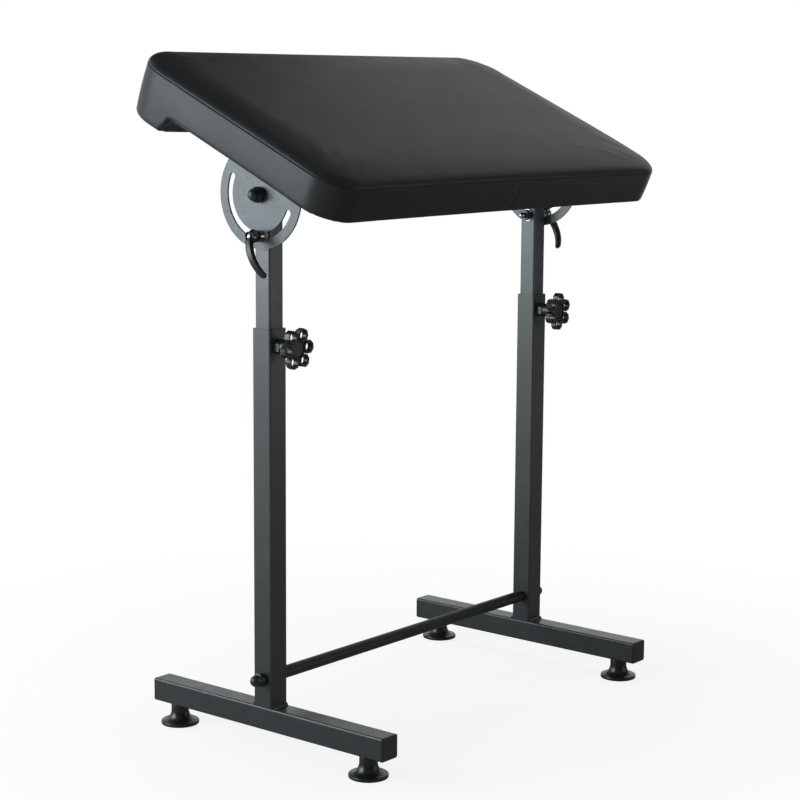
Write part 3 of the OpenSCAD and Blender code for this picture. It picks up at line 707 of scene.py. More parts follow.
@dataclass
class LevellingFeet:
    """The four moulded feet: a hollowed sole, a rounded rim, a concave flare and a collar."""

    wardrobe: Wardrobe
    collar: float = 11.5
    height: float = 27.95
    bore: float = 4.03
    stud_foot: float = 9.35

    def profile(self) -> list[tuple[float, float]]:
        """The foot's outline from the middle of its sole round to the floor of its bore.

        Returns:
            Radius and height of each place.
        """
        turns = [math.radians(degrees) for degrees in range(0, 91, 6)]
        flare = [(self.collar + 11.0 * (1 - math.sin(t)), 5.0 + 14.04 * (1 - math.cos(t))) for t in turns]
        return [
            (9.0, 1.6), (18.2, 1.4), (18.75, 1.1), (18.75, 0.15), (18.9, 0.0), (24.1, 0.0), (24.7, 0.25),
            (25.0, 0.9), (25.0, 3.4), (24.75, 4.1), (24.1, 4.65), (23.3, 4.85), *flare,
            (self.collar, 26.9), (self.collar - 0.25, 27.6), (self.collar - 0.8, self.height),
            (5.2, self.height), (self.bore + 0.3, self.height - 0.05), (self.bore, self.height - 0.4),
            (self.bore, self.stud_foot), (2.0, self.stud_foot),
        ]

    def build(self) -> None:
        """Turns one foot and puts a copy over each CAD foot."""
        pattern = Bench.turned("foot_pattern", self.profile(), 72)
        Bench.smooth(pattern, 40)
        self.wardrobe.dress(pattern, "foot_plastic")
        for side in Side:
            for end in End:
                node = f"{side.word}_{end.word}_foot"
                at = middle(node)
                foot = Bench.copy(pattern, f"{node}_moulding", Matrix.Translation((at.x, at.y, 0)))
                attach(foot, f"{side.word}_{end.word}_leveller")
                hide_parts(node)
                log.info("built %s", foot.name)
        bpy.data.objects.remove(pattern, do_unlink=True)


@dataclass
class DomedCaps:
    """The domed plastic caps on the cross bar's bolts and on the pivots."""

    wardrobe: Wardrobe
    socket_d: float = 15.15
    bolt_d: float = 8.12
    bolt_end: float = 9.6

    def cross_bar_profile(self) -> list[tuple[float, float]]:
        """Outline of a cross bar cap, from its open hexagon side outwards."""
        return [(8.2, 0.0), (8.75, 0.15), (8.9, 0.6), (8.9, 6.1), (8.6, 6.8), (7.9, 7.1), (7.4, 7.4),
                *arc_points((0, 10.5), 7.3, 0, 84, 12), (0.2, 17.8)]

    def pivot_profile(self) -> list[tuple[float, float]]:
        """Outline of a pivot cap: a broad foot, a waist and a ball end."""
        return [(9.2, 0.0), (9.8, 0.2), (10.0, 0.8), (10.0, 4.6), (9.8, 5.6), (9.3, 6.6), (8.7, 7.3),
                (8.2, 7.9), *arc_points((0, 8.6), 8.0, 4, 84, 14), (0.2, 16.6)]

    def cap(self, name: str, profile: Profile, depth: float) -> bpy.types.Object:
        """Turns one cap and hollows it for the hexagon under it.

        Args:
            name: Its name.
            profile: Its outline.
            depth: Depth of its hexagon socket, in millimetres.

        Returns:
            The cap, about Z.
        """
        cap = Bench.turned(name, profile, 56)
        Bench.combine(cap, Bench.prism("socket", 6, self.socket_d / 2, -1.0, depth), "DIFFERENCE")
        Bench.smooth(cap, 38)
        self.wardrobe.dress(cap, "cap_plastic")
        return cap

    def build(self) -> None:
        """Puts a cap over each bolt end."""
        for side in Side:
            node = f"{side.word}_pivot_cap"
            low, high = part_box(node)
            base = min(abs(low[0]), abs(high[0]))
            at = middle(node)
            cap = self.cap(f"{node}_moulding", self.pivot_profile(), 6.6)
            bolt = Bench.prism("bolt_end", 32, self.bolt_d / 2, 0.0, self.bolt_end)
            Bench.combine(cap, bolt, "DIFFERENCE")
            Bench.place(cap, along_x(side, base, at.y, at.z))
            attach(cap, "lift")
            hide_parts(node)
            log.info("built %s", cap.name)
        low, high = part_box("cross_bar_washers")
        at = middle("cross_bar_washers")
        for side in Side:
            cap = self.cap(f"{side.word}_cross_bar_cap", self.cross_bar_profile(), 5.6)
            Bench.place(cap, along_x(side, high[0], at.y, at.z))
            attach(cap, "stand_frame")
            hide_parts("cross_bar_bolt_caps")
            log.info("built %s", cap.name)


@dataclass
class StarKnobs:
    """The two star knobs: six open eight-sided rings round a dished hub, on a turned neck."""

    wardrobe: Wardrobe
    ring_r: float = 18.0
    ring_w: float = 16.2
    hole_d: float = 11.2
    thick: float = 8.0
    hub_in: float = 1.33
    edge_r: float = 0.55
    stand: float = 27.0
    post_face: float = -15.0
    neck_d: float = 19.0
    neck_back: float = 9.9
    screw_d: float = 10.04
    turns: dict[Side, float] = field(default_factory=lambda: {Side.LEFT: 4.0, Side.RIGHT: 25.0})

    def lobe(self, index: int) -> tuple[float, float]:
        """The axis of a ring, in millimetres from the knob's own."""
        angle = math.radians(60 * index)
        return (self.ring_r * math.cos(angle), self.ring_r * math.sin(angle))

    def ring(self, index: int) -> bpy.types.Object:
        """One eight-sided ring, its rims drawn in by insets.

        Args:
            index: Which of the six rings.

        Returns:
            The ring, at its place on the knob.
        """
        over = self.ring_w / 2 / math.cos(math.radians(22.5))
        ring = Bench.prism("ring", 8, over, self.stand, self.stand + self.thick, self.lobe(index),
                           22.5 + 60 * index)
        Bench.edit("FACE")
        Bench.select("faces", lambda f: abs(f.normal.z) > 0.9)
        bpy.ops.mesh.inset(thickness=1.0 * MM, depth=0.0, use_individual=True)
        bpy.ops.mesh.inset(thickness=0.8 * MM, depth=-0.4 * MM, use_individual=True)
        Bench.done()
        return ring

    def head(self) -> bpy.types.Object:
        """The whole knob.

        Returns:
            The knob about Z, with the post's face at height 0.
        """
        knob = self.ring(0)
        for index in range(1, 6):
            Bench.combine(knob, self.ring(index), "UNION")
        hub_r = self.ring_r - self.hole_d / 2 - 0.4
        top = self.stand + self.thick
        hub = Bench.prism("hub", 48, hub_r, self.stand + self.hub_in, top - self.hub_in)
        Bench.combine(knob, hub, "UNION")
        neck_r = self.neck_d / 2
        neck = Bench.turned("neck", [
            (neck_r - 0.8, self.neck_back), (neck_r, self.neck_back + 0.8),
            (neck_r - 0.4, self.stand - 4.0), (neck_r, self.stand - 1.5),
            (neck_r + 1.4, self.stand + 1.5), (neck_r + 1.4, self.stand + 4.5)], 48)
        Bench.combine(knob, neck, "UNION")
        for index in range(6):
            hole = Bench.prism("hole", 28, self.hole_d / 2, self.stand - 1, top + 1, self.lobe(index))
            Bench.combine(knob, hole, "DIFFERENCE")
        dish = Bench.turned("dish", [(hub_r - 2.6, top - 2.4), (hub_r - 1.9, top - 1.9),
                                     (hub_r - 1.2, top + 1)], 48)
        Bench.combine(knob, dish, "DIFFERENCE")
        bore = Bench.prism("bore", 40, self.screw_d / 2, 0.0, self.stand + self.thick / 2)
        Bench.combine(knob, bore, "DIFFERENCE")
        Bench.outward(knob, 0.01 * MM)
        Bench.use(knob, "BEVEL", width=self.edge_r * MM, segments=3, limit_method="ANGLE",
                  angle_limit=math.radians(34))
        Bench.smooth(knob, 36)
        return knob

    def build(self) -> None:
        """Models one knob and puts a turned copy on each post."""
        pattern = self.head()
        self.wardrobe.dress(pattern, "knob_plastic")
        for side in Side:
            screw = middle(f"{side.word}_knob_screw")
            face = Matrix.Translation((screw.x, self.post_face * MM, screw.z))
            face = face @ Matrix.Rotation(math.radians(90), 4, "X")
            turn = Matrix.Rotation(math.radians(self.turns[side]), 4, "Z")
            knob = Bench.copy(pattern, f"{side.word}_star_knob_moulding", face @ turn)
            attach(knob, f"{side.word}_knob")
            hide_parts(f"{side.word}_star_knob")
            log.info("built %s", knob.name)
        bpy.data.objects.remove(pattern, do_unlink=True)


@dataclass
class ClampLevers:
    """The two quick-release levers: a slotted round cam and a bowed, rounded grip."""

    wardrobe: Wardrobe
    cam_r: float = 8.0
    cam_throw: float = 0.8
    cam_w: float = 13.0
    edge_r: float = 2.4
    pin_d: float = 11.1
    slot_w: float = 6.6
    length: float = 54.5
    bow: float = 11.8
    apex: float = 25.5
    bend_r: float = 37.0
    root_t: float = 8.2
    tip_t: float = 5.2
    grip_w: float = 9.0
    swell: float = 1.03
    lean: float = 25.0

    def sections(self) -> list[tuple[Vector, float, float, float]]:
        """Sections down the grip.

        Returns:
            Each one's middle, angle along the bend, thickness and width.
        """
        start = math.asin(-self.apex / self.bend_r)
        end = math.asin((self.length - self.tip_t / 2 - self.apex) / self.bend_r)
        tip_r = self.grip_w * 0.45
        places, halves = (0, 4.5, 9, 14.2, 32.7, 50.4), (5.0, 4.9, 4.2, 4.7, 4.5, tip_r)
        down = [self.length * share for share in (0, 0.08, 0.17, 0.26, 0.35, 0.45, 0.55, 0.65, 0.75, 0.84)]
        down += [self.length - left for left in (5.6, 3.6, 2.1, 1.0, 0.35)]
        rings = []
        for u in down:
            share = min(1.0, u / (self.length - self.tip_t / 2))
            angle = start + (end - start) * share
            at = Vector((self.bow - self.bend_r + self.bend_r * math.cos(angle), 0,
                         -self.apex - self.bend_r * math.sin(angle)))
            thick = self.root_t + (self.tip_t - self.root_t) * share
            wide = 2 * float(np.interp(u, places, halves))
            past = u - (self.length - tip_r)
            if past > 0:
                wide = 2 * math.sqrt(max(tip_r ** 2 - past ** 2, 0.1))
            past = u - (self.length - self.tip_t / 2)
            if past > 0:
                thick = 2 * math.sqrt(max((self.tip_t / 2) ** 2 - past ** 2, 0.1))
                at += Vector((-math.sin(angle), 0, -math.cos(angle))) * past
            rings.append((at, angle, thick * self.swell, wide * self.swell))
        return rings

    def grip(self) -> bpy.types.Object:
        """The bowed grip: a block extruded along its bend, section by section, with softened long edges.

        Returns:
            The grip.
        """
        Bench.clear()
        bpy.ops.mesh.primitive_cube_add(size=1.0, location=(0, 0, 0))
        piece = bpy.context.object
        piece.name = "grip"
        rings = self.sections()
        Bench.edit("FACE")
        self.fit(piece, rings[0], lambda v: v.co.z > 0.1)
        self.fit(piece, rings[1], lambda v: v.co.z < -0.1)
        for ring in rings[2:]:
            bpy.ops.mesh.extrude_region_move(TRANSFORM_OT_translate={"value": (0, 0, -0.1 * MM)})
            self.fit(piece, ring, None)
        Bench.select("edges", lambda e: abs(e.verts[0].co.y - e.verts[1].co.y) < 0.8 * MM
                     and abs(e.verts[0].co.z - e.verts[1].co.z) > 0.9 * MM)
        bpy.ops.transform.edge_crease(value=0.32)
        Bench.done()
        Bench.use(piece, "SUBSURF", levels=2, render_levels=2)
        Bench.outward(piece)
        return piece

    def fit(self, piece: bpy.types.Object, ring: tuple[Vector, float, float, float],
            chosen: Callable[[object], bool] | None) -> None:
        """Moves four corners to a section of the grip and leaves their face selected.

        Args:
            piece: The grip, in edit mode.
            ring: The section's middle, its angle along the bend, its thickness and its width.
            chosen: Picks the corners, or None for those that are selected.
        """
        at, angle, thick, wide = ring
        mesh = bmesh.from_edit_mesh(piece.data)
        corners = [v for v in mesh.verts if (chosen(v) if chosen else v.select)]
        out = Vector((math.cos(angle), 0, -math.sin(angle)))
        centre = 0 if chosen else sum(v.co.x for v in corners) / len(corners)
        for v in corners:
            over = thick / 2 if v.co.x > centre else -thick / 2
            aside = wide / 2 if v.co.y > 0 else -wide / 2
            v.co = (at + out * over + Vector((0, aside, 0))) * MM
        for element in (*mesh.faces, *mesh.edges, *mesh.verts):
            element.select_set(False)
        for face in mesh.faces:
            if all(v in corners for v in face.verts):
                face.select_set(True)
        bmesh.update_edit_mesh(piece.data)

    def lever(self) -> bpy.types.Object:
        """One lever: its slotted cam with the grip.

        Returns:
            The lever about its pin, with X outboard, Y along the pin and the grip hanging down Z.
        """
        across = Matrix.Rotation(math.radians(90), 4, "X")
        half = self.cam_w / 2
        cam = Bench.turned("cam", [
            *arc_points((self.cam_r - self.edge_r, self.edge_r - half), self.edge_r, -90, 0, 6),
            *arc_points((self.cam_r - self.edge_r, half - self.edge_r), self.edge_r, 0, 90, 6)], 56)
        Bench.place(cam, Matrix.Translation((-self.cam_throw * MM, 0, 0)) @ across)
        Bench.combine(cam, self.grip(), "UNION")
        pin = Bench.prism("pin", 48, self.pin_d / 2, -half - 1, half + 1)
        Bench.place(pin, across)
        Bench.combine(cam, pin, "DIFFERENCE")
        slot = Bench.box("slot", (60, self.slot_w, 26 + self.slot_w), (0, 0, 13))
        Bench.combine(cam, slot, "DIFFERENCE")
        Bench.outward(cam, 0.01 * MM)
        Bench.smooth(cam, 40)
        return cam

    def build(self) -> None:
        """Models one lever and puts a copy on each clamp."""
        pattern = self.lever()
        self.wardrobe.dress(pattern, "lever_alloy")
        for joint in frame["joints"]:
            if not joint["name"].endswith("lever_swing"):
                continue
            side = Side.LEFT if joint["name"].startswith("left") else Side.RIGHT
            at = Vector(joint["pos_m"])
            leaned = Matrix.Rotation(math.radians(-self.lean), 4, "X")
            place = Matrix.Translation((abs(at.x), at.y, at.z)) @ leaned
            if side is Side.LEFT:
                place = Matrix.Scale(-1, 4, (1, 0, 0)) @ place
            lever = Bench.copy(pattern, f"{side.word}_lever_casting", place)
            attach(lever, f"{side.word}_lever")
            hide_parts(f"{side.word}_clamp_lever")
            log.info("built %s", lever.name)
        bpy.data.objects.remove(pattern, do_unlink=True)


@dataclass
class PaddedTop:
    """The sewn pad: a foam block under coated cloth, on its board, with a rear lip."""

    wardrobe: Wardrobe
    half_w: float = 350.0
    front: float = 154.0
    rear: float = 222.0
    front_corner: float = 47.0
    rear_corner: float = 58.0
    draw_in: float = 1.8
    under: float = 39.3
    under_r: float = 2.0
    seam: float = 83.2
    bulge: float = 0.5
    roll_w: float = 11.0
    roll_h: float = 8.2
    slope_w: float = 52.0
    slope_h: float = 5.4
    crown: float = 2.6
    corner_drop: float = 2.4
    lip: float = 25.0
    lip_full: float = 144.0
    lip_start: float = 128.0
    lip_r: float = 8.0
    lip_draw: float = 2.4
    board_in: float = 13.7
    board_low: float = 41.2
    board_high: float = 53.5
    tilt: float = 24.5
    cover_in: float = 30.0
    cover_r: float = 20.0
    cover_gap: float = 18.0
    slack: float = 1.0
    voxel: float = 5.0
    near_side: float = 14.0
    frames: int = 20
    swell: float = 2.6
    seam_lines: tuple[float, ...] = (-1.8, -0.8, 0.0, 0.8)
    stitch_in: float = -0.65
    piping_out: float = 0.15
    joint_lines: Triple = (-1.3, 0.0, 1.3)
    joint_in: float = -1.4
    joint_reach: float = 24.0
    joint_shift: float = 5.0
    joint_lean: float = 3.0
    joint_bow: float = 5.0
    cut_reach: float = 6.0
    front_reach: float = 8.0
    on_line: float = 0.02
    stitch_reach: float = 2.7
    stitch_hold: float = 0.92

    def frame_matrix(self) -> Matrix:
        """Puts the pad's own frame, about the pivot, into the stand's frame."""
        pivot = next(j for j in frame["joints"] if j["name"] == "tilt")["pos_m"]
        return Matrix.Translation(pivot) @ Matrix.Rotation(math.radians(self.tilt), 4, "X")

    def block(self, name: str, inset: float, low: float, high: float) -> bpy.types.Object:
        """A flat block with the pad's outline: a cube with its upright edges rounded.

        Args:
            name: Its name.
            inset: How far it is drawn in from the pad's outline.
            low: Height of its underside.
            high: Height of its top.

        Returns:
            The block, in the pad's own frame.
        """
        size = (2 * (self.half_w - inset), self.front + self.rear - 2 * inset, high - low)
        piece = Bench.box(name, size, (0, (self.rear - self.front) / 2, (low + high) / 2))
        for front, radius in ((True, self.front_corner), (False, self.rear_corner)):
            Bench.edit("EDGE")
            Bench.select("edges", lambda e: abs(e.verts[0].co.z - e.verts[1].co.z) > 5 * MM
                         and (e.verts[0].co.y < 0) == front)
            bpy.ops.mesh.bevel(offset=(radius - inset) * MM, segments=8, affect="EDGES", profile=0.5)
            Bench.done()
        return piece

    def shaped(self) -> bpy.types.Object:
        """The foam's form: the block with its rear lip let down and its edges rounded, as fine even cells.

        Returns:
            The pad, in its own frame.
        """
        pad = self.block("sewn_pad", self.slack, self.under, self.seam + self.roll_h)
        Bench.edit("EDGE")
        mid = (self.lip_start + self.lip_full) / 2
        for y in (self.lip_start, mid, self.lip_full):
            bpy.ops.mesh.select_all(action="SELECT")
            bpy.ops.mesh.bisect(plane_co=(0, y * MM, 0), plane_no=(0, 1, 0))
        for low, drop in ((self.lip_full - 1, self.lip / 2), (mid - 1, self.lip / 2)):
            Bench.select("verts", lambda v: v.co.z < (self.under + 1) * MM and v.co.y > low * MM
                         or v.co.z < (self.under - 1) * MM)
            bpy.ops.transform.translate(value=(0, 0, -drop * MM))
        top = (self.seam + self.roll_h - 1) * MM
        Bench.select("edges", lambda e: all(v.co.z > top for v in e.verts) and len(e.link_faces) == 2
                     and any(f.normal.z < 0.5 for f in e.link_faces))
        bpy.ops.mesh.bevel(offset=9 * MM, segments=4, affect="EDGES", profile=0.5)
        for deep, radius, segments in ((True, self.lip_r, 4), (False, self.under_r, 2)):
            level = (self.under - self.lip * 0.9) * MM
            Bench.select("edges", lambda e: len(e.link_faces) == 2
                         and any(f.normal.z < -0.5 for f in e.link_faces)
                         and any(abs(f.normal.z) < 0.3 and e.calc_face_angle(0) > 1.2 for f in e.link_faces)
                         and all(v.co.z < level for v in e.verts) == deep)
            bpy.ops.mesh.bevel(offset=radius * MM, segments=segments, affect="EDGES", profile=0.5)
        Bench.done()
        Bench.outward(pad)
        Bench.use(pad, "REMESH", mode="VOXEL", voxel_size=self.voxel * MM)
        self.drawn(pad, 1.0)
        return pad

    @staticmethod
    def points(piece: bpy.types.Object) -> np.ndarray:
        """A piece's points.

        Args:
            piece: The piece.

        Returns:
            One row of X, Y and Z for each point, in metres.
        """
        flat = np.zeros(len(piece.data.vertices) * 3)
        piece.data.vertices.foreach_get("co", flat)
        return flat.reshape(-1, 3)

    @staticmethod
    def put_points(piece: bpy.types.Object, at: np.ndarray) -> None:
        """Moves a piece's points."""
        piece.data.vertices.foreach_set("co", at.ravel())
        piece.data.update()

    def rim(self, at: np.ndarray) -> tuple[np.ndarray, np.ndarray]:
        """How far in from the pad's outline each point lies, and the way out from there.

        Args:
            at: Points in the pad's own frame, in millimetres.

        Returns:
            The distances in, and the outward directions in plan.
        """
        half = (self.front + self.rear) / 2
        x, y = at[:, 0], at[:, 1] - (self.rear - self.front) / 2
        radius = np.where(y < 0, self.front_corner, self.rear_corner)
        over_x = np.abs(x) - self.half_w + radius
        over_y = np.abs(y) - half + self.draw_in * np.clip(1 - (x / self.half_w) ** 2, 0, 1) + radius
        round_x, round_y = np.maximum(over_x, 0), np.maximum(over_y, 0)
        reach = np.hypot(round_x, round_y)
        depth = radius - np.minimum(np.maximum(over_x, over_y), 0) - reach
        share = np.maximum(reach, 1e-9)
        out_x = np.where(reach > 0, round_x / share, over_x > over_y)
        out_y = np.where(reach > 0, round_y / share, over_x <= over_y)
        return depth, np.stack((np.sign(x) * out_x, np.sign(y) * out_y), axis=1)

    def section(self, share: float) -> np.ndarray:
        """The pad's edge in section, from the underside round to the top.

        Args:
            share: How far the rear lip is let down there, from 0 to 1.

        Returns:
            Distance in and height of each place.
        """
        low = self.under - self.lip * share
        radius = self.under_r + (self.lip_r - self.under_r) * share
        draw = self.lip_draw * share
        turn = np.radians(np.linspace(0, 90, 12))
        under = np.stack((draw + radius * (1 - np.sin(turn)), low + radius * (1 - np.cos(turn))), axis=1)
        flat = np.stack((np.linspace(16, draw + radius, 14), np.full(14, low)), axis=1)
        rise = np.linspace(0, 1, 50)[1:]
        side = np.stack((draw * (1 - rise) ** 1.5 - self.bulge * np.sin(np.pi * rise),
                         low + radius + (self.seam - low - radius) * rise), axis=1)
        turn = np.radians(np.linspace(0, 90, 30)[1:])
        roll = np.stack((self.roll_w * (1 - np.cos(turn)), self.seam + self.roll_h * np.sin(turn)), axis=1)
        inner = np.linspace(self.roll_w, self.slope_w + 12, 60)[1:]
        top = np.stack((inner, np.full(59, self.seam + self.roll_h)), axis=1)
        line = np.concatenate((flat, under, side, roll, top))
        line[:, 1] += self.slope_h * (1 - (1 - np.clip(line[:, 0] / self.slope_w, 0, 1)) ** 2)
        return line

    def lift(self, at: np.ndarray) -> np.ndarray:
        """How much the crown raises the top, less what the front corners are pulled down.

        Args:
            at: Points in the pad's own frame, in millimetres.

        Returns:
            The rise over each point.
        """
        half = (self.front + self.rear) / 2
        x = np.clip(np.abs(at[:, 0]) / self.half_w, 0, 1)
        y = np.clip(np.abs(at[:, 1] - (self.rear - self.front) / 2) / half, 0, 1)
        corner = np.hypot(np.abs(at[:, 0]) - self.half_w, at[:, 1] + self.front)
        return self.crown * (1 - x ** 2.4) * (1 - y ** 2.4) - self.corner_drop * np.exp(-(corner / 62) ** 2)

    def drawn(self, pad: bpy.types.Object, hold: float) -> None:
        """Draws the cover tight: moves each point towards the pad's section.

        Args:
            pad: The pad, in its own frame.
            hold: The share of the way, where 1 leaves no slack.
        """
        at = self.points(pad) / MM
        depth, out = self.rim(at)
        share = np.clip((at[:, 2] - self.seam) / self.roll_h, 0, 1)
        height = at[:, 2] - self.lift(at) * share
        target = np.stack((depth, height), axis=1)
        near = (depth < self.slope_w) & ((depth < self.near_side) | (height > self.seam))
        steps = 12
        let_down = np.clip((at[:, 1] - self.lip_start) / (self.lip_full - self.lip_start), 0, 1)
        let_down = np.round(let_down * steps)
        for step in range(steps + 1):
            line = self.section(step / steps)
            rows = np.nonzero(near & (let_down == step))[0]
            for some in np.array_split(rows, len(rows) // 20000 + 1):
                gap_in, gap_up = depth[some, None] - line[:, 0], height[some, None] - line[:, 1]
                target[some] = line[np.argmin(gap_in ** 2 + gap_up ** 2, axis=1)]
        inside = ~near & (height > self.seam)
        target[inside, 1] = self.seam + self.roll_h + self.slope_h
        beneath = ~near & (np.abs(height - self.under) < 6) & (at[:, 1] < self.lip_start - 12)
        target[beneath, 1] = self.under
        move = (target - np.stack((depth, height), axis=1)) * hold
        at[:, :2] -= out * move[:, :1]
        now = np.clip((height + move[:, 1] - self.seam) / self.roll_h, 0, 1)
        at[:, 2] = height + move[:, 1] + self.lift(at) * now
        self.put_points(pad, at * MM)

    def held(self, at: np.ndarray) -> np.ndarray:
        """How firmly each point is held: the underside by the board, and the seam by its stitches.

        Args:
            at: The pad's points.

        Returns:
            A weight from 0 to 1 for each point.
        """
        under = (at[:, 2] < (self.under + 2.5) * MM) & (at[:, 1] < (self.lip_start - 4) * MM)
        depth, _ = self.rim(at / MM)
        stitched = (np.abs(at[:, 2] - self.seam * MM) < self.stitch_reach * MM) & (depth < self.near_side)
        return np.where(under, 1.0, np.where(stitched, self.stitch_hold, 0.0))

    def swollen(self, pad: bpy.types.Object) -> None:
        """Blows the cloth up over the foam by simulation and keeps the shape.

        Args:
            pad: The pad, in its own frame.
        """
        before = self.points(pad)
        weights = self.held(before)
        group = pad.vertex_groups.new(name="held")
        for level in np.unique(weights[weights > 0]):
            group.add(np.nonzero(weights == level)[0].tolist(), float(level), "REPLACE")
        Bench.pick(pad)
        cloth = pad.modifiers.new("Cloth", "CLOTH")
        settings = cloth.settings
        settings.vertex_group_mass = "held"
        settings.quality = 6
        settings.mass = 0.35
        settings.tension_stiffness = settings.compression_stiffness = 14
        settings.shear_stiffness = 6
        settings.bending_stiffness = 0.6
        settings.use_pressure = True
        settings.uniform_pressure_force = 4.0
        settings.effector_weights.gravity = 0.0
        cloth.collision_settings.use_collision = False
        cloth.point_cache.frame_start, cloth.point_cache.frame_end = 1, self.frames
        scene = bpy.context.scene
        for number in range(1, self.frames + 1):
            scene.frame_set(number)
        ready = pad.evaluated_get(bpy.context.evaluated_depsgraph_get())
        after = np.zeros(len(ready.data.vertices) * 3)
        ready.data.vertices.foreach_get("co", after)
        move = after.reshape(-1, 3) - before
        length = np.linalg.norm(move, axis=1)
        limit = self.swell * MM
        factor = np.where(length > 1e-9, limit * np.tanh(length / limit) / np.maximum(length, 1e-9), 0)
        pad.modifiers.remove(cloth)
        pad.vertex_groups.clear()
        scene.frame_set(1)
        self.put_points(pad, before + move * factor[:, None])
        kept = (length * factor).max() / MM
        log.info("cloth moved up to %.1f mm, kept up to %.1f mm", length.max() / MM, kept)

    @staticmethod
    def cut_lines(place: Callable[[float], Plane], offsets: Sequence[float],
                  area: Callable[[object], bool]) -> None:
        """Cuts parallel lines into the cloth, in edit mode.

        Args:
            place: Gives a point and a normal, in millimetres, of the plane at an offset.
            offsets: The lines' offsets.
            area: Picks the faces that are cut.
        """
        for offset in offsets:
            Bench.select("faces", area)
            point, normal = place(offset)
            bpy.ops.mesh.bisect(plane_co=[value * MM for value in point], plane_no=normal)

    def sewn(self, pad: bpy.types.Object) -> None:
        """Sinks the seam round the side and the curved joint in its front, and raises a ridge under the seam.

        Args:
            pad: The finished cloth, in its own frame.
        """
        Bench.pick(pad)
        Bench.edit("FACE")
        self.cut_lines(lambda o: ((0, 0, self.seam + o), (0, 0, 1)), self.seam_lines,
                       lambda f: abs(f.calc_center_median().z - self.seam * MM) < self.cut_reach * MM
                       and abs(f.normal.z) < 0.9)
        self.cut_lines(lambda o: ((o, 0, 0), (1, 0, 0)), self.joint_lines,
                       lambda f: abs(f.calc_center_median().x) < self.cut_reach * MM
                       and f.calc_center_median().y < (self.front_reach - self.front) * MM
                       and f.calc_center_median().z < (self.seam - 1) * MM and f.normal.y < -0.6)
        mesh = bmesh.from_edit_mesh(pad.data)
        mesh.normal_update()
        moves = []
        for v in mesh.verts:
            level = v.co.z / MM - self.seam
            if abs(v.normal.z) < 0.95 and abs(level) < self.on_line:
                moves.append((v, v.normal * self.stitch_in))
            elif abs(v.normal.z) < 0.95 and abs(level - self.seam_lines[0]) < self.on_line:
                moves.append((v, v.normal * self.piping_out))
            in_front = v.co.y < (self.cut_reach - self.front) * MM and v.normal.y < -0.6
            if in_front and abs(v.co.x) < self.on_line * MM and level < -1.0:
                moves.append((v, v.normal * self.joint_in))
        for v, move in moves:
            v.co += move * MM
        for v in mesh.verts:
            fade = 1 - abs(v.co.x) / (self.joint_reach * MM)
            if v.co.y < (self.front_reach - self.front) * MM and fade > 0 and v.co.z < self.seam * MM:
                height = (v.co.z / MM - self.under) / (self.seam - self.under)
                bow = self.joint_bow * math.sin(math.pi * height)
                v.co.x += (self.joint_shift + self.joint_lean * height + bow) * MM * fade
        bmesh.update_edit_mesh(pad.data)
        Bench.done()

    def opened(self, pad: bpy.types.Object) -> None:
        """Opens the underside for the board and the cover.

        Args:
            pad: The pad, in its own frame.
        """
        board_room = self.block("board_room", self.board_in, self.board_low, self.board_high)
        Bench.combine(pad, board_room, "DIFFERENCE", "MANIFOLD")
        low, high = self.cover_in - self.front, self.lip_start - self.cover_gap
        room = Bench.box("cover_room", (2 * (self.half_w - self.cover_in), high - low, 9),
                         (0, (low + high) / 2, self.under - 1.5))
        Bench.edit("EDGE")
        Bench.select("edges", lambda e: abs(e.verts[0].co.z - e.verts[1].co.z) > 5 * MM)
        bpy.ops.mesh.bevel(offset=self.cover_r * MM, segments=4, affect="EDGES", profile=0.5)
        Bench.done()
        Bench.combine(pad, room, "DIFFERENCE", "MANIFOLD")

    def build(self) -> None:
        """Makes the pad over its CAD solid."""
        pad = self.shaped()
        self.swollen(pad)
        Bench.use(pad, "SUBSURF", levels=1, render_levels=1)
        self.drawn(pad, 0.8)
        self.opened(pad)
        self.sewn(pad)
        Bench.place(pad, self.frame_matrix())
        Bench.smooth(pad, 60)
        self.wardrobe.dress(pad, "pad_cloth")
        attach(pad, "pad")
        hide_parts("pad_cushion")
        log.info("built %s with %d faces", pad.name, len(pad.data.polygons))


# Studio


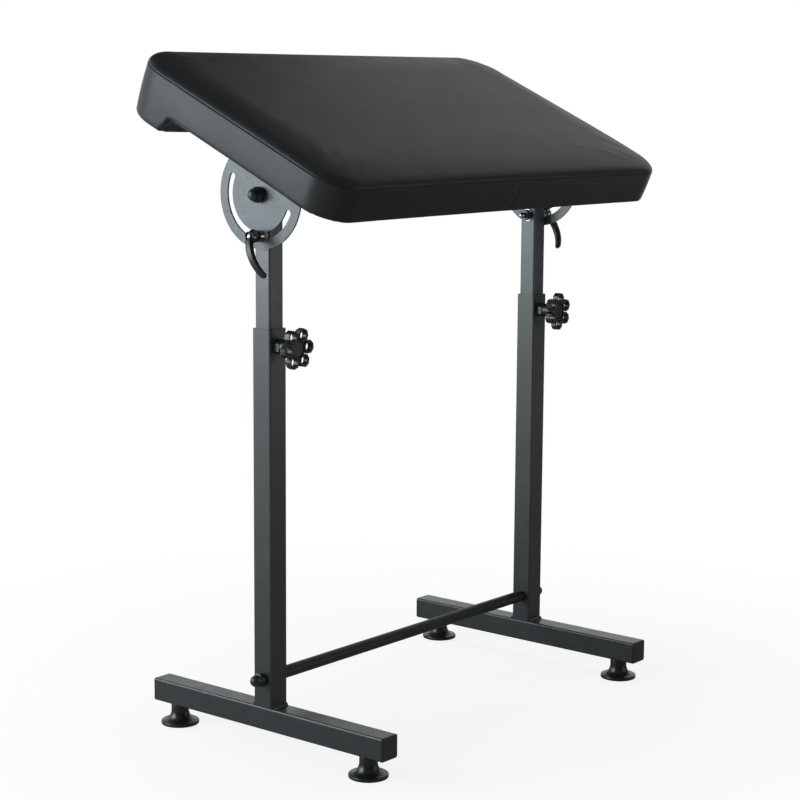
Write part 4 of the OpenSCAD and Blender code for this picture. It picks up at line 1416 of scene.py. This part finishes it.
@dataclass
class Studio:
    """The pale floor, the soft lamps and the camera at the photograph's angle."""

    eye: Triple = (-2.10641, -1.70292, 0.84405)
    azimuth: float = -50.758
    elevation: float = 8.94
    roll: float = 0.39
    lens: float = 91.32
    flag_r: float = 3.4
    # Middle of the painted dark patch in the floor's glow, which only reflections see.
    dim_spot: Triple = (0.8, -0.6, 0.0)

    def camera(self) -> None:
        """Adds the camera."""
        data = bpy.data.cameras.new("camera")
        data.lens = self.lens
        data.sensor_width = 36.0
        data.sensor_fit = "HORIZONTAL"
        data.clip_end = 50
        camera = bpy.data.objects.new("camera", data)
        bpy.context.scene.collection.objects.link(camera)
        turn, rise = math.radians(self.azimuth), math.radians(self.elevation)
        back = Vector((math.sin(turn) * math.cos(rise), -math.cos(turn) * math.cos(rise), math.sin(rise)))
        right = (-back).cross(Vector((0, 0, 1))).normalized()
        up = right.cross(-back)
        c, s = math.cos(math.radians(self.roll)), math.sin(math.radians(self.roll))
        x, y = c * right + s * up, c * up - s * right
        camera.matrix_world = Matrix.Translation(self.eye) @ Matrix((x, y, back)).transposed().to_4x4()
        bpy.context.scene.camera = camera

    def lamp(self, name: str, at: Triple, to: Triple, size: tuple[float, float], power: float,
             colour: Triple = (1.0, 1.0, 1.0), in_gloss: bool = True) -> None:
        """Adds a soft rectangular lamp.

        Args:
            name: Its name.
            at: Where it hangs.
            to: What it points at.
            size: Its width and height, in metres.
            power: Its power in watts.
            colour: Its colour.
            in_gloss: Whether glossy surfaces reflect it.
        """
        data = bpy.data.lights.new(name, "AREA")
        data.shape = "RECTANGLE"
        data.size, data.size_y = size
        data.energy = power
        data.color = colour
        lamp = bpy.data.objects.new(name, data)
        lamp.location = at
        lamp.rotation_euler = (Vector(to) - Vector(at)).to_track_quat("-Z", "Y").to_euler()
        lamp.visible_glossy = in_gloss
        bpy.context.scene.collection.objects.link(lamp)

    def floor(self) -> None:
        """Adds the floor, which shows white and keeps the stand's shadow."""
        Bench.clear()
        bpy.ops.mesh.primitive_plane_add(size=30.0, location=(0, 0, -0.0002))
        floor = Bench.added("studio_floor")
        white = Shader("studio_floor_white").set(Base_Color=(0.9, 0.9, 0.9, 1), Roughness=0.8,
                                                 Specular_IOR_Level=0.1)
        shown = white.ramp(white.away((0.0, 0.0, 0.0)), (0.3, 1.1), (0.84, 1.0))
        plain = white.mixed(white.seen(shown), white.surface.outputs["BSDF"], white.glow(1.0))
        # Reflections see the floor as a glow that is dimmed round dim_spot: painted shade, a dark patch in what
        # the stand reflects.
        dim = white.ramp(white.away(self.dim_spot), (0.7, 3.6), (0.17, 1.0))
        in_gloss = white.add("LightPath", {}).outputs["Is Glossy Ray"]
        white.finish(white.mixed(in_gloss, plain, white.glow(dim)))
        floor.data.materials.append(white.material)

    @staticmethod
    def only_in_gloss(card: bpy.types.Object, shade: Shader) -> None:
        """Gives a studio card its shade, and hides it from everything but reflections.

        Args:
            card: The card.
            shade: The shade in the making.
        """
        card.data.materials.append(shade.material)
        card.visible_camera = card.visible_diffuse = card.visible_shadow = False

    def flag(self, name: str, facing: float, half: float, low: float, high: float) -> None:
        """Adds a curved dark card round the stand, which only gloss sees, as dark cloth in a studio.

        Args:
            name: Its name.
            facing: The direction of its middle from the stand, in degrees from +X.
            half: Half its sweep, in degrees.
            low: Height of its lower edge, in metres.
            high: Height of its upper edge.
        """
        Bench.clear()
        bpy.ops.mesh.primitive_circle_add(vertices=96, radius=self.flag_r, location=(0, 0, low))
        flag = Bench.added(name)
        way = Vector((math.cos(math.radians(facing)), math.sin(math.radians(facing)), 0))
        edge = math.cos(math.radians(half))
        Bench.edit("VERT")
        Bench.select("verts", lambda v: Vector((v.co.x, v.co.y, 0)).normalized().dot(way) < edge)
        bpy.ops.mesh.delete(type="VERT")
        bpy.ops.mesh.select_all(action="SELECT")
        bpy.ops.mesh.extrude_region_move(TRANSFORM_OT_translate={"value": (0, 0, high - low)})
        Bench.done()
        self.only_in_gloss(flag, Shader(f"{name}_black").set(Base_Color=(0.03, 0.03, 0.03, 1), Roughness=1.0))

    def canopy(self) -> None:
        """Adds a canopy, which only gloss sees: white at the sides, and dark overhead."""
        Bench.clear()
        bpy.ops.mesh.primitive_uv_sphere_add(segments=48, ring_count=32, radius=6.0, location=(0, 0, 0))
        canopy = Bench.added("studio_canopy")
        Bench.edit("VERT")
        Bench.select("verts", lambda v: v.co.z < 0.4)
        bpy.ops.mesh.delete(type="VERT")
        Bench.done()
        shade = Shader("studio_canopy_shade")
        height = shade.add("SeparateXYZ", {0: shade.place()}).outputs["Z"]
        shade.finish(shade.glow(shade.ramp(height, (3.0, 4.9), (0.92, 0.04))))
        self.only_in_gloss(canopy, shade)

    @staticmethod
    def world() -> None:
        """Sets the plain white surround and its soft light."""
        world = bpy.data.worlds.new("studio_surround")
        tree = Tree(world)
        light = tree.nodes["Background"]
        tree.fill(light.inputs["Color"], (0.95, 0.97, 1.0, 1))
        tree.fill(light.inputs["Strength"], 0.32)
        shown = tree.add("Background", {"Color": (1, 1, 1, 1), "Strength": 1.0})
        tree.fill(tree.nodes["World Output"].inputs["Surface"], tree.mixed(
            tree.seen(1.0), light.outputs["Background"], shown.outputs["Background"]))
        bpy.context.scene.world = world

    def build(self) -> None:
        """Sets up the studio."""
        self.camera()
        self.floor()
        self.flag("studio_flag", 219.0, 62.0, 0.02, 2.42)
        self.flag("studio_front_flag", 318.0, 27.0, 0.02, 2.7)
        self.flag("studio_rear_flag", 59.0, 22.0, 1.9, 4.6)
        self.canopy()
        self.world()
        self.lamp("side_softbox", (-2.15, 1.55, 1.1), (0.0, 0.0, 0.6), (1.7, 1.5), 64, (0.83, 0.95, 1.0))
        self.lamp("top_softbox", (0.2, 0.2, 2.8), (0.0, 0.0, 0.6), (1.8, 1.8), 25, in_gloss=False)
        self.lamp("front_fill", (1.6, -2.3, 0.6), (0.0, 0.0, 0.4), (1.2, 1.2), 5)
        bpy.context.scene.view_settings.view_transform = "Standard"
        log.info("set up the studio")


def main() -> None:
    """Builds the sub-assemblies in order."""
    logging.basicConfig(level=logging.INFO, format="%(name)s: %(message)s")
    wardrobe = Wardrobe()
    wardrobe.dress_nodes()
    Studio().build()
    LevellingFeet(wardrobe).build()
    DomedCaps(wardrobe).build()
    StarKnobs(wardrobe).build()
    ClampLevers(wardrobe).build()
    PaddedTop(wardrobe).build()


if __name__ == "__main__":
    main()
